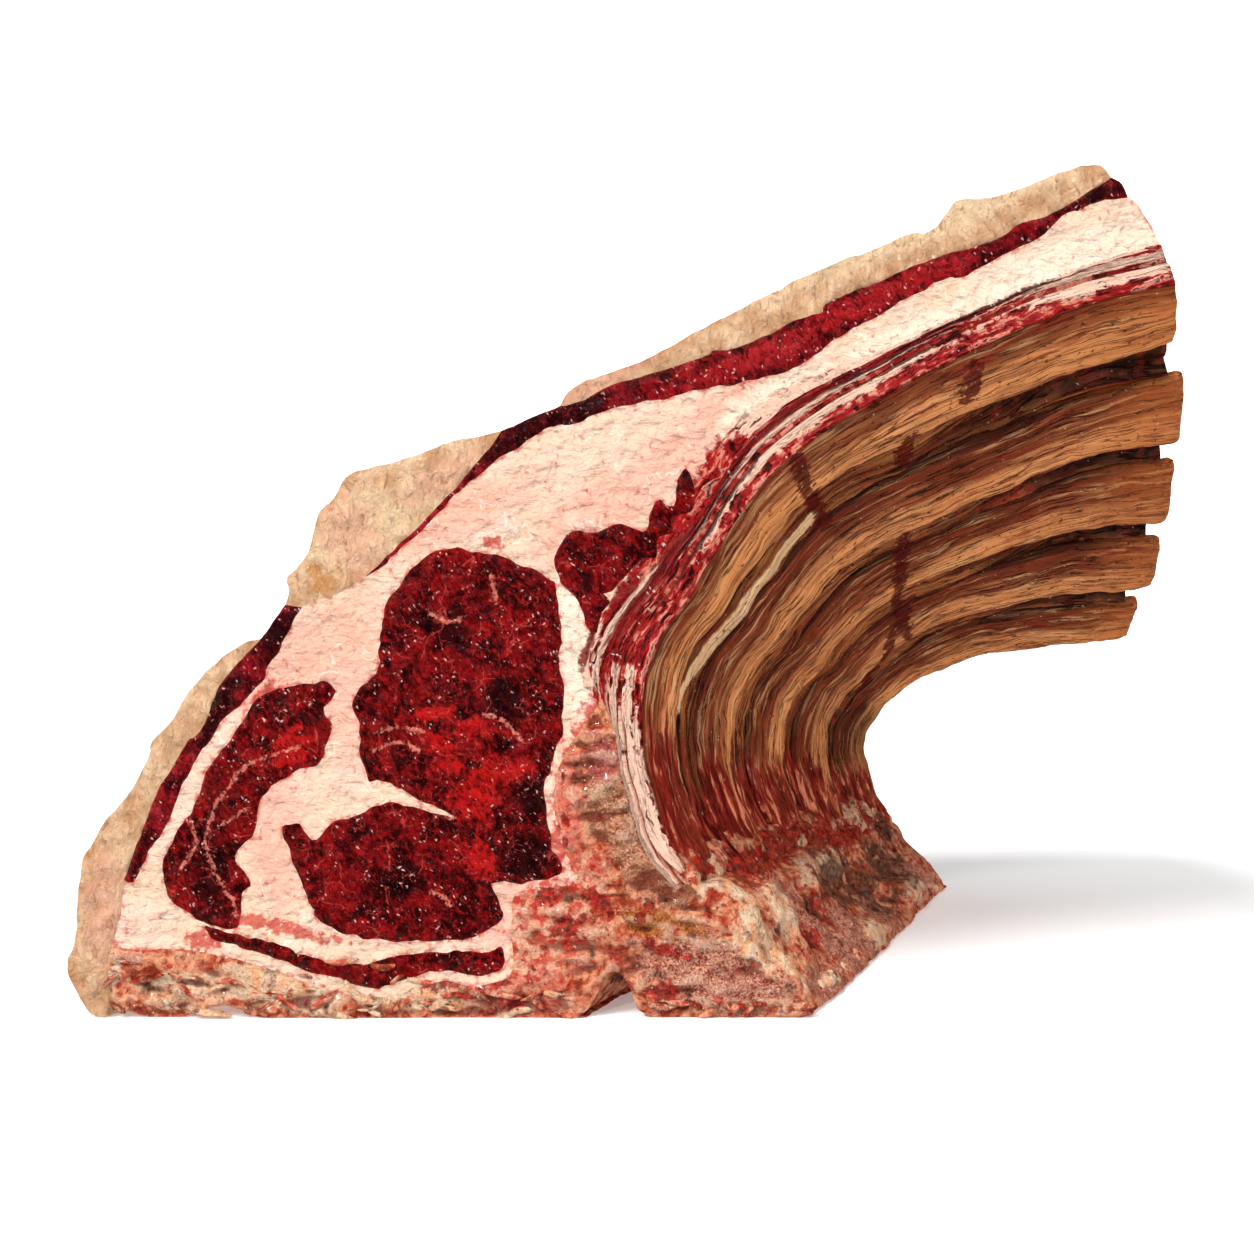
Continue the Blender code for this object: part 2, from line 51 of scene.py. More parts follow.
RIB_CENTRES = (14.0, 76.5, 131.9, 187.2, 242.0)
RIB_HALF_WIDTH = 19.8
RIB_OVERHANG = (1.0, 6.0, 6.5, 7.0, 7.0)
COLLAR_AT = 4               # point of the arch line where the bones meet the backbone
VERTEBRA_COUNT = 5
SOFT_LUMPS = 1.5            # unevenness of meat and fat in millimetres
HARD_LUMPS = 0.9            # unevenness of ribs and rib wall
LINING_FRONT = 7.2          # depth of the lining under the inner line at the cut face

LINES = {
    "outer_low": ((-190.4, 0), (-196.9, 2.7), (-204.2, 15.8), (-204.2, 22.3), (-201.9, 29.2),
        (-199.6, 57.7), (-196.1, 66.5), (-190.8, 75.4), (-182.3, 84.6), (-174.2, 100.4), (-173.1, 105),
        (-164.6, 114.6), (-160, 123.5), (-145.4, 138.8), (-137.3, 143.5), (-130, 146.1)),
    "foot": ((-187.7, 4.6), (-188.5, 1.2), (-190.4, 0)),
    "foot_side": ((-187.7, 27.7), (-189.2, 21.5), (-187.7, 4.6)),
    "low_seam": ((-183.1, 52.7), (-185.8, 33.8), (-187.7, 27.7)),
    "low_in": ((-130, 146.1), (-145.4, 129.2), (-150.8, 115.4), (-155.4, 108.1), (-160, 104.6),
        (-173.1, 80.8), (-183.1, 52.7)),
    "gap_low": ((-130, 146.1), (-120.4, 159.2)),
    "mid_gap": ((-120.4, 159.2), (-115, 158.1)),
    "low_deep": ((-183.1, 52.7), (-179.6, 52.3), (-173.5, 64.2), (-165.8, 75.4), (-161.9, 85.8),
        (-151.1, 106.1), (-133.8, 126.1), (-120.4, 146.5), (-115, 158.1)),
    "outer_mid": ((-120.4, 159.2), (-119.2, 164.6), (-120, 168.8), (-116.5, 172.3), (-112.7, 178.8),
        (-108.1, 194.6), (-102.3, 200.4), (-100, 206.1), (-95.4, 209.6), (-87.7, 212.3), (-76.2, 214.6),
        (-55.8, 222.3), (-37.7, 225.8)),
    "mid_low": ((-115, 158.1), (-100, 163.5), (-90.4, 169.6)),
    "mid_in": ((-90.4, 169.6), (-55.8, 203.8), (-37.7, 225.8)),
    "high_deep": ((-90.4, 169.6), (-83.1, 174.6), (-47.7, 207.7), (-21.2, 226.1), (-9.2, 227.7),
        (5.8, 234.6), (67.3, 247.7), (85.4, 256.5), (96.2, 264.2), (126.9, 281.1), (140.4, 285.8),
        (165.4, 298.1), (176.9, 306.9), (188.5, 311.9), (203.5, 316.1)),
    "gap_high": ((-37.7, 225.8), (-15.4, 235.4)),
    "outer_high": ((-15.4, 235.4), (-8.5, 243.1), (18.5, 254.2), (53.8, 273.1), (79.2, 285),
        (117.7, 300.4), (125, 301.1), (130, 304.6), (133.1, 310), (138.8, 314.6), (155.8, 316.9),
        (177.7, 325.4), (188.5, 327.7), (193.1, 326.9), (196.5, 323.1)),
    "high_in": ((-15.4, 235.4), (-7.7, 236.9), (4.6, 243.5), (38.5, 253.8), (43.1, 256.5), (51.9, 257.7),
        (77.7, 269.2), (85.4, 270.8), (90.4, 276.1), (126.9, 290.8), (153.8, 300), (161.5, 305),
        (173.1, 308.8), (184.6, 314.6), (196.5, 323.1)),
    "tip_muscle": ((196.5, 323.1), (200.8, 320), (203.5, 316.1)),
    "tip_fat": ((203.5, 316.1), (207.7, 312.3), (216.1, 296.9)),
    "spine_left": ((0, 122.3), (-13.5, 101.1), (-16.2, 94.6), (-17.7, 86.9), (-17.7, 78.1),
        (-15.4, 68.5), (-7.7, 52.3)),
    "spine_top": ((-7.7, 52.3), (-15.4, 50), (-24.2, 49.6), (-31.2, 47.3), (-34.2, 43.1), (-33.8, 20),
        (-38.5, 14.2), (-50, 12.3), (-61.5, 13.8), (-80.8, 8.5), (-94.2, 8.8), (-105.8, 11.2),
        (-115.4, 15), (-151.9, 25), (-176.9, 25.8), (-187.7, 27.7)),
    "spine_bottom": ((79.2, 3.8), (77.3, 0), (23.8, 0), (16.5, 1.9), (13.1, 6.5), (11.5, 11.9),
        (8.5, 15.8), (5.4, 16.9), (2.3, 14.6), (-3.1, 5), (-7.7, 1.2), (-15.4, 0), (-123.1, 0),
        (-138.5, 3.8), (-148.1, 4.6), (-161.5, 0), (-173.1, 0), (-187.7, 4.6)),
    "spine_right": ((35, 52.7), (55.8, 28.1), (79.2, 3.8)),
    "eye_only": ((-42.3, 51.5), (-37.3, 52.3), (-30.8, 51.5), (-17.7, 54.2), (-15, 58.8), (-19.6, 68.5),
        (-21.5, 83.8), (-21.2, 90.4), (-15, 108.1), (-13.8, 116.5), (-13.5, 126.1), (-15, 135.8),
        (-15.4, 158.8), (-16.5, 166.1), (-21.2, 169.6), (-36.5, 176.5), (-53.8, 180), (-65.4, 178.8),
        (-76.2, 168.5), (-83.1, 157.7), (-85.4, 141.5), (-84.6, 134.6), (-92.7, 126.5), (-94.6, 120.8),
        (-91.5, 108.8), (-92.3, 103.1), (-88.5, 91.9), (-83.1, 90.8), (-61.5, 80.8), (-55.8, 76.9)),
    "eye_lower": ((-55.8, 76.9), (-50, 72.3), (-46.2, 66.5), (-43.5, 60), (-42.3, 51.5)),
    "lower_only": ((-55.8, 76.9), (-76.2, 82.3), (-83.1, 82.7), (-88.5, 81.2), (-96.9, 76.5),
        (-101.5, 76.2), (-109.2, 68.8), (-112.7, 70.8), (-115, 75.4), (-118.8, 74.6), (-121.5, 70.8),
        (-111.9, 43.8), (-108.5, 37.7), (-85.4, 30), (-53.1, 30.4), (-46.2, 31.9), (-40.8, 35),
        (-37.7, 39.6), (-42.3, 51.5)),
    "cap": ((-107.7, 129.6), (-103.1, 126.9), (-103.8, 122.3), (-106.5, 120), (-105.4, 116.1),
        (-102.7, 113.5), (-103.8, 108.1), (-108.8, 97.7), (-119.6, 93.1), (-129.6, 84.2), (-132.3, 70.8),
        (-140, 62.3), (-135, 52.7), (-137.3, 48.5), (-139.2, 36.2), (-143.1, 34.2), (-149.2, 35.8),
        (-155, 38.1), (-165, 45.4), (-167.7, 50.8), (-168.1, 56.9), (-166.1, 64.6), (-160, 75.4),
        (-151.1, 95.4), (-147.7, 101.1), (-141.9, 107.3), (-133.8, 120.4), (-130, 123.8),
        (-124.6, 126.1)),
    "side": ((-12.3, 185.4), (-7.7, 187.3), (-3.1, 186.9), (7.7, 190), (16.2, 186.5), (18.8, 188.8),
        (18.5, 193.1), (19.6, 196.9), (21.9, 199.6), (25.4, 197.3), (28.5, 196.9), (29.6, 207.7),
        (32.7, 211.1), (35.4, 207.7), (36.5, 202.3), (35.8, 197.3), (33.8, 194.2), (29.6, 193.8),
        (27.7, 190.4), (27.7, 186.5), (24.2, 185), (21.9, 181.5), (21.2, 177.7), (15.8, 176.1),
        (5, 164.6), (1.9, 163.5), (3.8, 160), (1.2, 156.1), (-0.8, 148.5), (-2.3, 147.7), (-6.5, 153.8),
        (-8.8, 161.1), (-15.4, 168.5), (-17.3, 177.3)),
    "tail": ((-151.1, 35.8), (-142.3, 32.3), (-130, 30), (-101.9, 21.2), (-92.3, 20.4), (-69.2, 25),
        (-46.2, 25.4), (-38.8, 27.7), (-37.3, 23.8), (-39.6, 18.1), (-50, 16.5), (-60.8, 18.5),
        (-82.7, 12.3), (-92.3, 12.7), (-142.3, 28.1), (-150.4, 32.7)),
}
CLOSED = ("cap", "side", "tail")
TORN = ("cap", "side", "tail", "eye_only", "lower_only", "low_deep", "high_deep")

# Each piece: its slot, its outline and any tunnels, as names of lines. A minus reverses a line.
OUTLINES = {
    "cover_fat_low": ("cover_fat", "outer_low low_in low_seam foot_side foot"),
    "cover_fat_middle": ("cover_fat", "outer_mid -mid_in -mid_low -mid_gap"),
    "cover_fat_high": ("cover_fat", "outer_high -high_in"),
    "outer_muscle_low": ("outer_muscle", "gap_low mid_gap -low_deep -low_in"),
    "outer_muscle_high": ("outer_muscle", "mid_in gap_high high_in tip_muscle -high_deep"),
    "seam_fat": ("seam_fat", "low_deep mid_low high_deep tip_fat flank_fat spine_left spine_top -low_seam",
                 "eye_only lower_only", "cap", "side", "tail"),
    "eye_muscle": ("muscle", "eye_only eye_lower"),
    "lower_muscle": ("muscle", "lower_only -eye_lower"),
    "cap_muscle": ("muscle", "cap"),
    "side_muscle": ("muscle", "side"),
    "tail_muscle": ("muscle", "tail"),
}
BACKBONE = "spine_left spine_top foot_side -spine_bottom -spine_right flank_neck"

# The inner line of the arch and the fat side of the rib wall, paired point by point.
ARC = (
    (35, 52.7), (23.8, 68.5), (18.5, 83.1), (15, 97.7), (14.2, 114.6), (14.2, 122.3),
    (16.2, 134.6), (20.8, 145.4), (24.6, 151.9), (33.8, 163.8), (40, 175.4), (47.7, 187.3),
    (56.9, 201.5), (69.2, 215.4), (86.5, 228.5), (108, 241), (138.5, 256.9),
    (176.9, 273.8), (219.6, 284.6),
)
FLANK = (
    (29.2, 48.8), (17.3, 64.6), (11.5, 81.5), (7.7, 96.5), (4.6, 113.8), (0, 122.3),
    (-4.6, 136.1), (2.3, 149.2), (6.9, 156.1), (16.5, 168.5), (26.2, 178.8), (35.8, 189.6),
    (44.6, 203.8), (55.4, 220.8), (71.5, 236.1), (93.1, 247.3), (131.5, 265.8), (173.1, 283.5),
    (216.1, 296.9),
)
NECK = 5                   # up to this pair the rib wall lies against the backbone

# Where points of the front face lie at the back face, before the sideways shift.
ARC_BACK = (
    (35, 52.7, 46, 45), (24, 68.5, 38, 57), (18.5, 83, 34, 69), (14.2, 106, 31.5, 82),
    (14.2, 122, 33, 91), (17.3, 140.8, 39, 101), (30, 158, 48, 109.5), (44, 181, 60, 118.5),
    (62.3, 208.5, 76, 127), (76.9, 222, 87, 131), (96.2, 233.1, 100, 135), (120, 248.8, 118, 138.5),
    (148, 261.5, 136, 140.5), (176.9, 273.8, 152, 141.6), (219.6, 284.6, 173, 142.5),
)
OUTER_BACK = (
    (-190, 1, -184, 1), (-204, 18, -194, 16), (-200, 55, -188, 47), (-173, 105, -165, 89),
    (-130, 146, -124, 122), (-100, 206, -95, 163), (-37.7, 225.8, -34, 181), (18.5, 254.2, 20, 193),
    (67.3, 278.8, 66, 197), (117.7, 300.4, 108, 196), (155.8, 317, 140, 192), (196.5, 323.1, 164, 187),
    (-123, 0, -118, 0), (-70, 0, -66, 0), (-15, 0, -12, 0), (24, 0, 26, 0), (79.2, 3.8, 79, 3.6),
)


def spline_kernel(a, b):
    """Thin-plate kernel between two sets of 2D points."""
    r2 = ((a[:, None, :] - b[None, :, :]) ** 2).sum(axis=2)
    return r2 * np.log(r2 + 1e-6)


class BackFace:
    """Smooth map from the front face to the back face, through the anchor points."""

    def __init__(self, anchors):
        rows = np.array(anchors, dtype=float)
        self.front = rows[:, :2]
        values = np.column_stack([rows[:, 2] - rows[:, 0], rows[:, 3] / np.maximum(rows[:, 1], 1e-6)])
        values[rows[:, 1] < 1.0, 1] = 0.95
        count = len(rows)
        system = np.zeros((count + 3, count + 3))
        system[:count, :count] = spline_kernel(self.front, self.front) + 40.0 * np.eye(count)
        system[:count, count:] = np.column_stack([np.ones(count), self.front])
        system[count:, :count] = system[:count, count:].T
        self.weights = np.linalg.solve(system, np.vstack([values, np.zeros((3, 2))]))

    def __call__(self, points):
        basis = np.column_stack([spline_kernel(points, self.front), np.ones(len(points)), points])
        move = basis @ self.weights
        return move[:, 0], move[:, 1]


def arc_frame(p):
    """Unit normals of an open line, pointing away from the hollow of the arch."""
    tangent = np.gradient(p, axis=0)
    tangent /= np.linalg.norm(tangent, axis=1)[:, None]
    return np.column_stack([-tangent[:, 1], tangent[:, 0]])


def make_back_face():
    """Anchor the rib wall so that it keeps its thickness at the back."""
    rough = BackFace(ARC_BACK + OUTER_BACK)
    arc, flank = np.array(ARC, dtype=float), np.array(FLANK, dtype=float)
    dx, ratio = rough(arc)
    arc_back = np.column_stack([arc[:, 0] + dx, arc[:, 1] * ratio])
    thickness = np.linalg.norm(flank - arc, axis=1)
    flank_back = arc_back + arc_frame(arc_back) * thickness[:, None]
    anchors = [(*a, *b) for a, b in zip(arc, arc_back)]
    anchors += [(*a, *b) for a, b in zip(flank, flank_back)]
    return BackFace(anchors + list(OUTER_BACK))


BACK = make_back_face()


def flow(p, w):
    """Place front-face points (n, 2) at depth fraction w: returns (n, 2) x and z in millimetres."""
    dx, ratio = BACK(p)
    wave = np.sin(np.pi * w)
    lift = 1.0 + wave * 0.012 * np.sin(0.03 * p[:, 0] + 5.0 * w)
    sway = wave * 1.6 * np.sin(0.035 * p[:, 1] + 4.0 * w + 0.6)
    x = p[:, 0] + dx * w * w + sway
    z = p[:, 1] * (1.0 + (ratio - 1.0) * w) * lift
    return np.column_stack([x, z])


# Noise

def hashed(ix, iy, iz, seed):
    h = (ix * 374761393 + iy * 668265263 + iz * 1440662683 + seed * 974634777) & 0xFFFFFFFF
    h = ((h ^ (h >> 13)) * 1274126177) & 0xFFFFFFFF
    return ((h ^ (h >> 16)) & 0xFFFFFF) / 0x7FFFFF - 1.0


def noise(p, size, seed=0):
    """Smooth value noise in -1..1 at points (n, 3); size is the lump size in millimetres."""
    q = p / size
    cell = np.floor(q).astype(np.int64)
    f = q - cell
    u = f * f * (3.0 - 2.0 * f)
    total = np.zeros(len(p))
    for corner in range(8):
        off = np.array((corner & 1, corner >> 1 & 1, corner >> 2 & 1))
        weight = np.where(off, u, 1.0 - u).prod(axis=1)
        c = cell + off
        total += weight * hashed(c[:, 0], c[:, 1], c[:, 2], seed)
    return total


def fractal(p, size, octaves=3, seed=0):
    total, gain = np.zeros(len(p)), 1.0
    for k in range(octaves):
        total += gain * noise(p, size / 2 ** k, seed + 17 * k)
        gain *= 0.5
    return total


def vector_noise(p, size, octaves=2, seed=0):
    return np.column_stack([fractal(p, size, octaves, seed + 101 * k) for k in range(3)])


def smoothstep(low, high, value):
    t = np.clip((value - low) / (high - low), 0.0, 1.0)
    return t * t * (3.0 - 2.0 * t)


# Outlines

def spline(p, step, closed=False):
    """Rows along a smooth curve through the points, and the row at which each piece starts."""
    count = len(p)
    rows, starts = [], []
    for i in range(count if closed else count - 1):
        ids = np.arange(i - 1, i + 3)
        a, b, c, d = p[ids % count if closed else np.clip(ids, 0, count - 1)]
        pieces = max(1, int(round(np.linalg.norm((c - b)[:2]) / step)))
        starts.append(len(rows))
        for t in np.arange(pieces) / pieces:
            rows.append(0.5 * (2 * b + (c - a) * t + (2 * a - 5 * b + 4 * c - d) * t * t
                               + (3 * b - a - 3 * c + d) * t ** 3))
    if not closed:
        rows.append(p[-1])
    return np.array(rows), starts


def smooth_line(points, step, closed=False):
    return spline(np.array(points, dtype=float), step, closed)[0]


def ragged(p, amount=0.35):
    """Shake an outline a little, by place, so that both sides of a seam move alike."""
    flat = np.column_stack([p[:, 0], np.zeros(len(p)), p[:, 1]])
    shake = np.column_stack([fractal(flat, 5.0, 2, 3), fractal(flat, 5.0, 2, 11)])
    keep = smoothstep(0.2, 4.0, p[:, 1])
    out = p + shake * amount * keep[:, None]
    out[:, 1] = np.where(p[:, 1] < 0.2, 0.0, out[:, 1])
    return out


def paired_lines(step):
    """The inner line and the fat side, resampled together."""
    rows, starts = spline(np.hstack([ARC, FLANK]).astype(float), step)
    return rows[:, :2], ragged(rows[:, 2:]), starts[NECK]


FINE = {name: ragged(smooth_line(points, STEP, name in CLOSED), 0.75 if name in TORN else 0.35)
        for name, points in LINES.items()}
ARC_FINE, FLANK_FINE, NECK_FINE = paired_lines(STEP)
FINE.update(flank_fat=FLANK_FINE[NECK_FINE:][::-1], flank_neck=FLANK_FINE[:NECK_FINE + 1])
S_COUNT = len(ARC_FINE)
WALL_WIDTH = np.linalg.norm(FLANK_FINE - ARC_FINE, axis=1)
S_LENGTH = np.concatenate([[0.0], np.cumsum(np.linalg.norm(np.diff(ARC_FINE, axis=0), axis=1))])


def chain(names):
    """Join lines end to end into one closed outline."""
    loop = None
    for name in names.split():
        line = FINE[name.lstrip("-")]
        line = line[::-1] if name.startswith("-") else line
        if loop is None:
            loop = line
        else:
            loop = np.vstack([loop, line[1:] if np.allclose(line[0], loop[-1], atol=0.3) else line])
    return loop[:-1] if np.allclose(loop[0], loop[-1], atol=0.3) else loop


def orient(loop, clockwise=False):
    q = np.roll(loop, -1, axis=0)
    left = float((loop[:, 0] * q[:, 1] - q[:, 0] * loop[:, 1]).sum()) > 0
    return loop[::-1] if left == clockwise else loop


def inside(points, loops):
    """Even-odd test of 2D points against closed loops."""
    hit = np.zeros(len(points), dtype=bool)
    for loop in loops:
        a, b = loop, np.roll(loop, -1, axis=0)
        for start in range(0, len(points), 4000):
            p = points[start:start + 4000]
            spans = (a[None, :, 1] > p[:, None, 1]) != (b[None, :, 1] > p[:, None, 1])
            rise = b[:, 1] - a[:, 1]
            rise = np.where(np.abs(rise) < 1e-9, 1e-9, rise)
            cut = a[:, 0] + (p[:, None, 1] - a[None, :, 1]) / rise * (b[:, 0] - a[:, 0])
            hit[start:start + 4000] ^= (spans & (p[:, None, 0] < cut)).sum(axis=1) % 2 == 1
    return hit


def edge_distance(points, loops):
    """Distance from 2D points to the nearest outline point."""
    rim = np.vstack(loops)
    out = np.empty(len(points))
    for start in range(0, len(points), 2000):
        p = points[start:start + 2000]
        out[start:start + 2000] = np.sqrt(((p[:, None, :] - rim[None]) ** 2).sum(axis=2).min(axis=1))
    return out


def fill(loops, step, seed):
    """Triangulate an outline with tunnels. Returns inner points, their edge distance and faces."""
    rim = np.vstack(loops)
    low, high = rim.min(axis=0), rim.max(axis=0)
    rng = np.random.default_rng(seed)
    gx, gz = np.meshgrid(np.arange(low[0], high[0], step), np.arange(low[1], high[1], step * 0.87))
    gx[1::2] += step / 2
    grid = np.column_stack([gx.ravel(), gz.ravel()])
    grid += rng.uniform(-0.22, 0.22, grid.shape) * step
    grid = grid[inside(grid, loops)]
    away = edge_distance(grid, loops)
    grid, away = grid[away > 0.62 * step], away[away > 0.62 * step]
    edges, first = [], 0
    for loop in loops:
        n = len(loop)
        edges += [(first + i, first + (i + 1) % n) for i in range(n)]
        first += n
    everything = np.vstack([rim, grid])
    result = delaunay_2d_cdt([Vector(p) for p in everything], edges, [], 0, 1e-5)
    source = [ids[0] if ids else -1 for ids in result[3]]
    faces = np.array([[source[v] for v in f] for f in result[2] if len(f) == 3])
    faces = faces[(faces >= 0).all(axis=1)]
    corners = everything[faces]
    faces = faces[inside(corners.mean(axis=1), loops)]
    corners = everything[faces]
    ab, ac = corners[:, 1] - corners[:, 0], corners[:, 2] - corners[:, 0]
    turned = ab[:, 0] * ac[:, 1] - ab[:, 1] * ac[:, 0] < 0
    faces[turned] = faces[turned][:, ::-1]
    return grid, away, faces


# Meshes

def to_frame(xz, depth):
    """Flowed x, z and depth in millimetres to drawing millimetres with the sideways shift."""
    depth = np.broadcast_to(np.asarray(depth, dtype=float), (len(xz),))
    return np.column_stack([xz[:, 0] + SIDE_SHIFT * depth / DEPTH, depth, xz[:, 1]])


def face_relief(plan):
    """Unevenness of the cut faces in millimetres, by place."""
    flat = np.column_stack([plan[:, 0], np.zeros(len(plan)), plan[:, 1]])
    return 1.1 * noise(flat, 42.0, 5) + 0.5 * noise(flat, 14.0, 6)


def lumps(points, plan, w, amount):
    """Move points by a field that depends only on place, so that neighbours stay together."""
    depth = w * DEPTH
    from_cut = np.minimum(depth, DEPTH - depth)
    share = smoothstep(0.0, 12.0, from_cut) * 0.7 + 0.3
    move = (vector_noise(points, 21.0, 2, 31) + 0.5 * vector_noise(points, 6.0, 2, 37)) * amount
    move *= share[:, None]
    move[:, 2] *= smoothstep(0.0, 14.0, points[:, 2])
    move[:, 1] *= smoothstep(0.0, 10.0, from_cut)
    relief = face_relief(plan)
    move[:, 1] += np.where(w < 0.5, relief, -relief) * np.exp(-from_cut / 7.0)
    out = points + move
    out[:, 2] = np.where(points[:, 2] < 0.05, 0.0, np.maximum(out[:, 2], 0.0))
    return out


class Body:
    """Points, faces and named values of one closed mesh."""

    def __init__(self):
        self.points, self.faces, self.values, self.count = [], [], {}, 0

    def add(self, points, **values):
        ids = np.arange(self.count, self.count + len(points))
        self.points.append(points)
        for name, rows in values.items():
            self.values.setdefault(name, []).append(np.asarray(rows, dtype=float))
        self.count += len(points)
        return ids

    def quads(self, a, b, c, d):
        self.faces += [np.column_stack([a, b, c]), np.column_stack([a, c, d])]

    def tube(self, rings):
        """Join neighbouring closed rings, given as rows of point numbers."""
        near, far = rings[:-1], rings[1:]
        self.quads(near.ravel(), far.ravel(), np.roll(far, -1, 1).ravel(), np.roll(near, -1, 1).ravel())

    def cap(self, ring, middle, values, onward):
        """Close a ring with a fan round a middle point."""
        hub = self.add(middle[None], **values)
        after = np.roll(ring, -1)
        edge = (ring, after) if onward else (after, ring)
        self.faces.append(np.column_stack([*edge, np.repeat(hub, len(ring))]))

    def build(self, name, node, material, sharp):
        points = (np.vstack(self.points) - ORIGIN) * MM
        faces = np.vstack(self.faces)
        a, b, c = points[faces[:, 0]], points[faces[:, 1]], points[faces[:, 2]]
        if (np.cross(a, b) * c).sum() < 0:
            faces = faces[:, ::-1]
        mesh = bpy.data.meshes.new(name)
        mesh.vertices.add(len(points))
        mesh.vertices.foreach_set("co", points.astype(np.float32).ravel())
        mesh.loops.add(faces.size)
        mesh.loops.foreach_set("vertex_index", faces.astype(np.int32).ravel())
        mesh.polygons.add(len(faces))
        mesh.polygons.foreach_set("loop_start", np.arange(0, faces.size, 3, dtype=np.int32))
        mesh.update(calc_edges=True)
        mesh.validate()
        for label, parts in self.values.items():
            whole = np.concatenate(parts).astype(np.float32)
            kind, key = ("FLOAT_VECTOR", "vector") if whole.ndim == 2 else ("FLOAT", "value")
            layer = mesh.attributes.new(label, kind, "POINT")
            layer.data.foreach_set(key, whole.ravel())
        mesh.shade_smooth()
        mesh.set_sharp_from_angle(angle=np.radians(sharp))
        mesh.materials.append(material)
        piece = bpy.data.objects.new(name, mesh)
        bpy.context.scene.collection.objects.link(piece)
        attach(piece, "root")
        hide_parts(node)


def loft(node, slot_name, outlines, material, stations, grid_step, dome, grain, paint, swell=None,
         fold=(3.2, 3.2)):
    """Loft outlines (the first is the outside, others are tunnels) from front to back."""
    body = Body()
    loops = [orient(chain(names), clockwise=k > 0) for k, names in enumerate(outlines)]
    rings = []
    for w in stations:
        row = []
        for loop in loops:
            share, blank = np.full(len(loop), w), np.zeros(len(loop))
            points = to_frame(flow(loop, w), w * DEPTH)
            if swell is not None:
                points = points + swell(points, loop, w)
            points = lumps(points, loop, share, SOFT_LUMPS)
            row.append(body.add(points, edge=blank, fold=blank, **paint(loop, share * DEPTH)))
        rings.append(row)
    for near, far in zip(rings, rings[1:]):
        for k in range(len(loops)):
            a, b = near[k], np.roll(near[k], -1)
            d, c = far[k], np.roll(far[k], -1)
            body.quads(a, d, c, b)
    for end, ring in ((0, rings[0]), (-1, rings[-1])):
        w = stations[end]
        plan, away, faces = fill(loops, grid_step if end == 0 else grid_step * 2.0, end + 3)
        share = np.full(len(plan), w)
        points = lumps(to_frame(flow(plan, w), w * DEPTH), plan, share, SOFT_LUMPS)
        flat = np.column_stack([plan[:, 0] / fold[0], 3.0 * share, plan[:, 1] / fold[1]])
        rough = fractal(flat + vector_noise(flat * 0.35, 1.0, 1, 71) * 0.8, 1.0, 3, 1)
        rise = dome * (1.0 - np.exp(-away / 3.0)) + grain * np.minimum(away / 2.0, 1.0) * rough
        points[:, 1] += -rise if end == 0 else rise
        inner = body.add(points, edge=away, fold=rough, **paint(plan, share * DEPTH))
        ids = np.concatenate([*ring, inner])[faces]
        body.faces.append(ids if end == 0 else ids[:, ::-1])
    body.build(f"{node}_look", node, material, 50.0)


def cut_stations(count):
    """More sections near the cut faces, so that their relief fades inwards."""
    t = np.linspace(0.0, 1.0, count)
    return t - 0.055 * np.sin(2.0 * np.pi * t)


class WallMap:
    """The inner line, its normals and the fat side on a grid of depths."""

    def __init__(self, columns):
        self.depths = np.linspace(0.0, DEPTH, columns)
        arcs, normals, flanks = [], [], []
        for depth in self.depths:
            line = flow(ARC_FINE, depth / DEPTH)
            arcs.append(line)
            normals.append(arc_frame(line))
            flanks.append(flow(FLANK_FINE, depth / DEPTH))
        self.arcs, self.normals, self.flanks = (np.array(v) for v in (arcs, normals, flanks))

    def at(self, table, i, depth):
        """Look up a table at line points i (whole numbers) and depths (any)."""
        t = np.clip(depth, 0.0, DEPTH) / DEPTH * (len(self.depths) - 1)
        low = np.minimum(t.astype(int), len(self.depths) - 2)
        f = (t - low)[:, None]
        return table[low, i] * (1.0 - f) + table[low + 1, i] * f

    def point(self, i, depth, inward, onward=0.0):
        normal = self.at(self.normals, i, depth)
        along = np.column_stack([normal[:, 1], -normal[:, 0]])
        spot = self.at(self.arcs, i, depth) + normal * np.asarray(inward)[:, None]
        return spot + along * np.broadcast_to(onward, (len(i),))[:, None]


WALL = WallMap(89)


def past_bone(depth):
    """Millimetres past the edge of the nearest bone, negative under a bone."""
    return np.abs(depth[:, None] - np.array(RIB_CENTRES)).min(axis=1) - RIB_HALF_WIDTH


def wall_level(s_share, depth, streak):
    """How deep the lining lies under the inner line, in millimetres."""
    out = past_bone(depth)
    between = smoothstep(-3.0, 1.0, out)
    crevice = 3.6 * np.exp(-((out - 0.9) / 1.3) ** 2)
    pocket = 9.0 * smoothstep(0.66, 0.92, s_share) * smoothstep(-0.5, 2.5, out)
    bulge = 1.1 * noise(streak * np.array((0.05, 1.0, 1.0)), 3.0, 41)
    bulge += 0.8 * noise(streak * np.array((0.15, 1.0, 1.0)), 6.0, 43)
    return -1.6 * between + crevice + pocket + bulge + 3.0 * (1.0 - between)


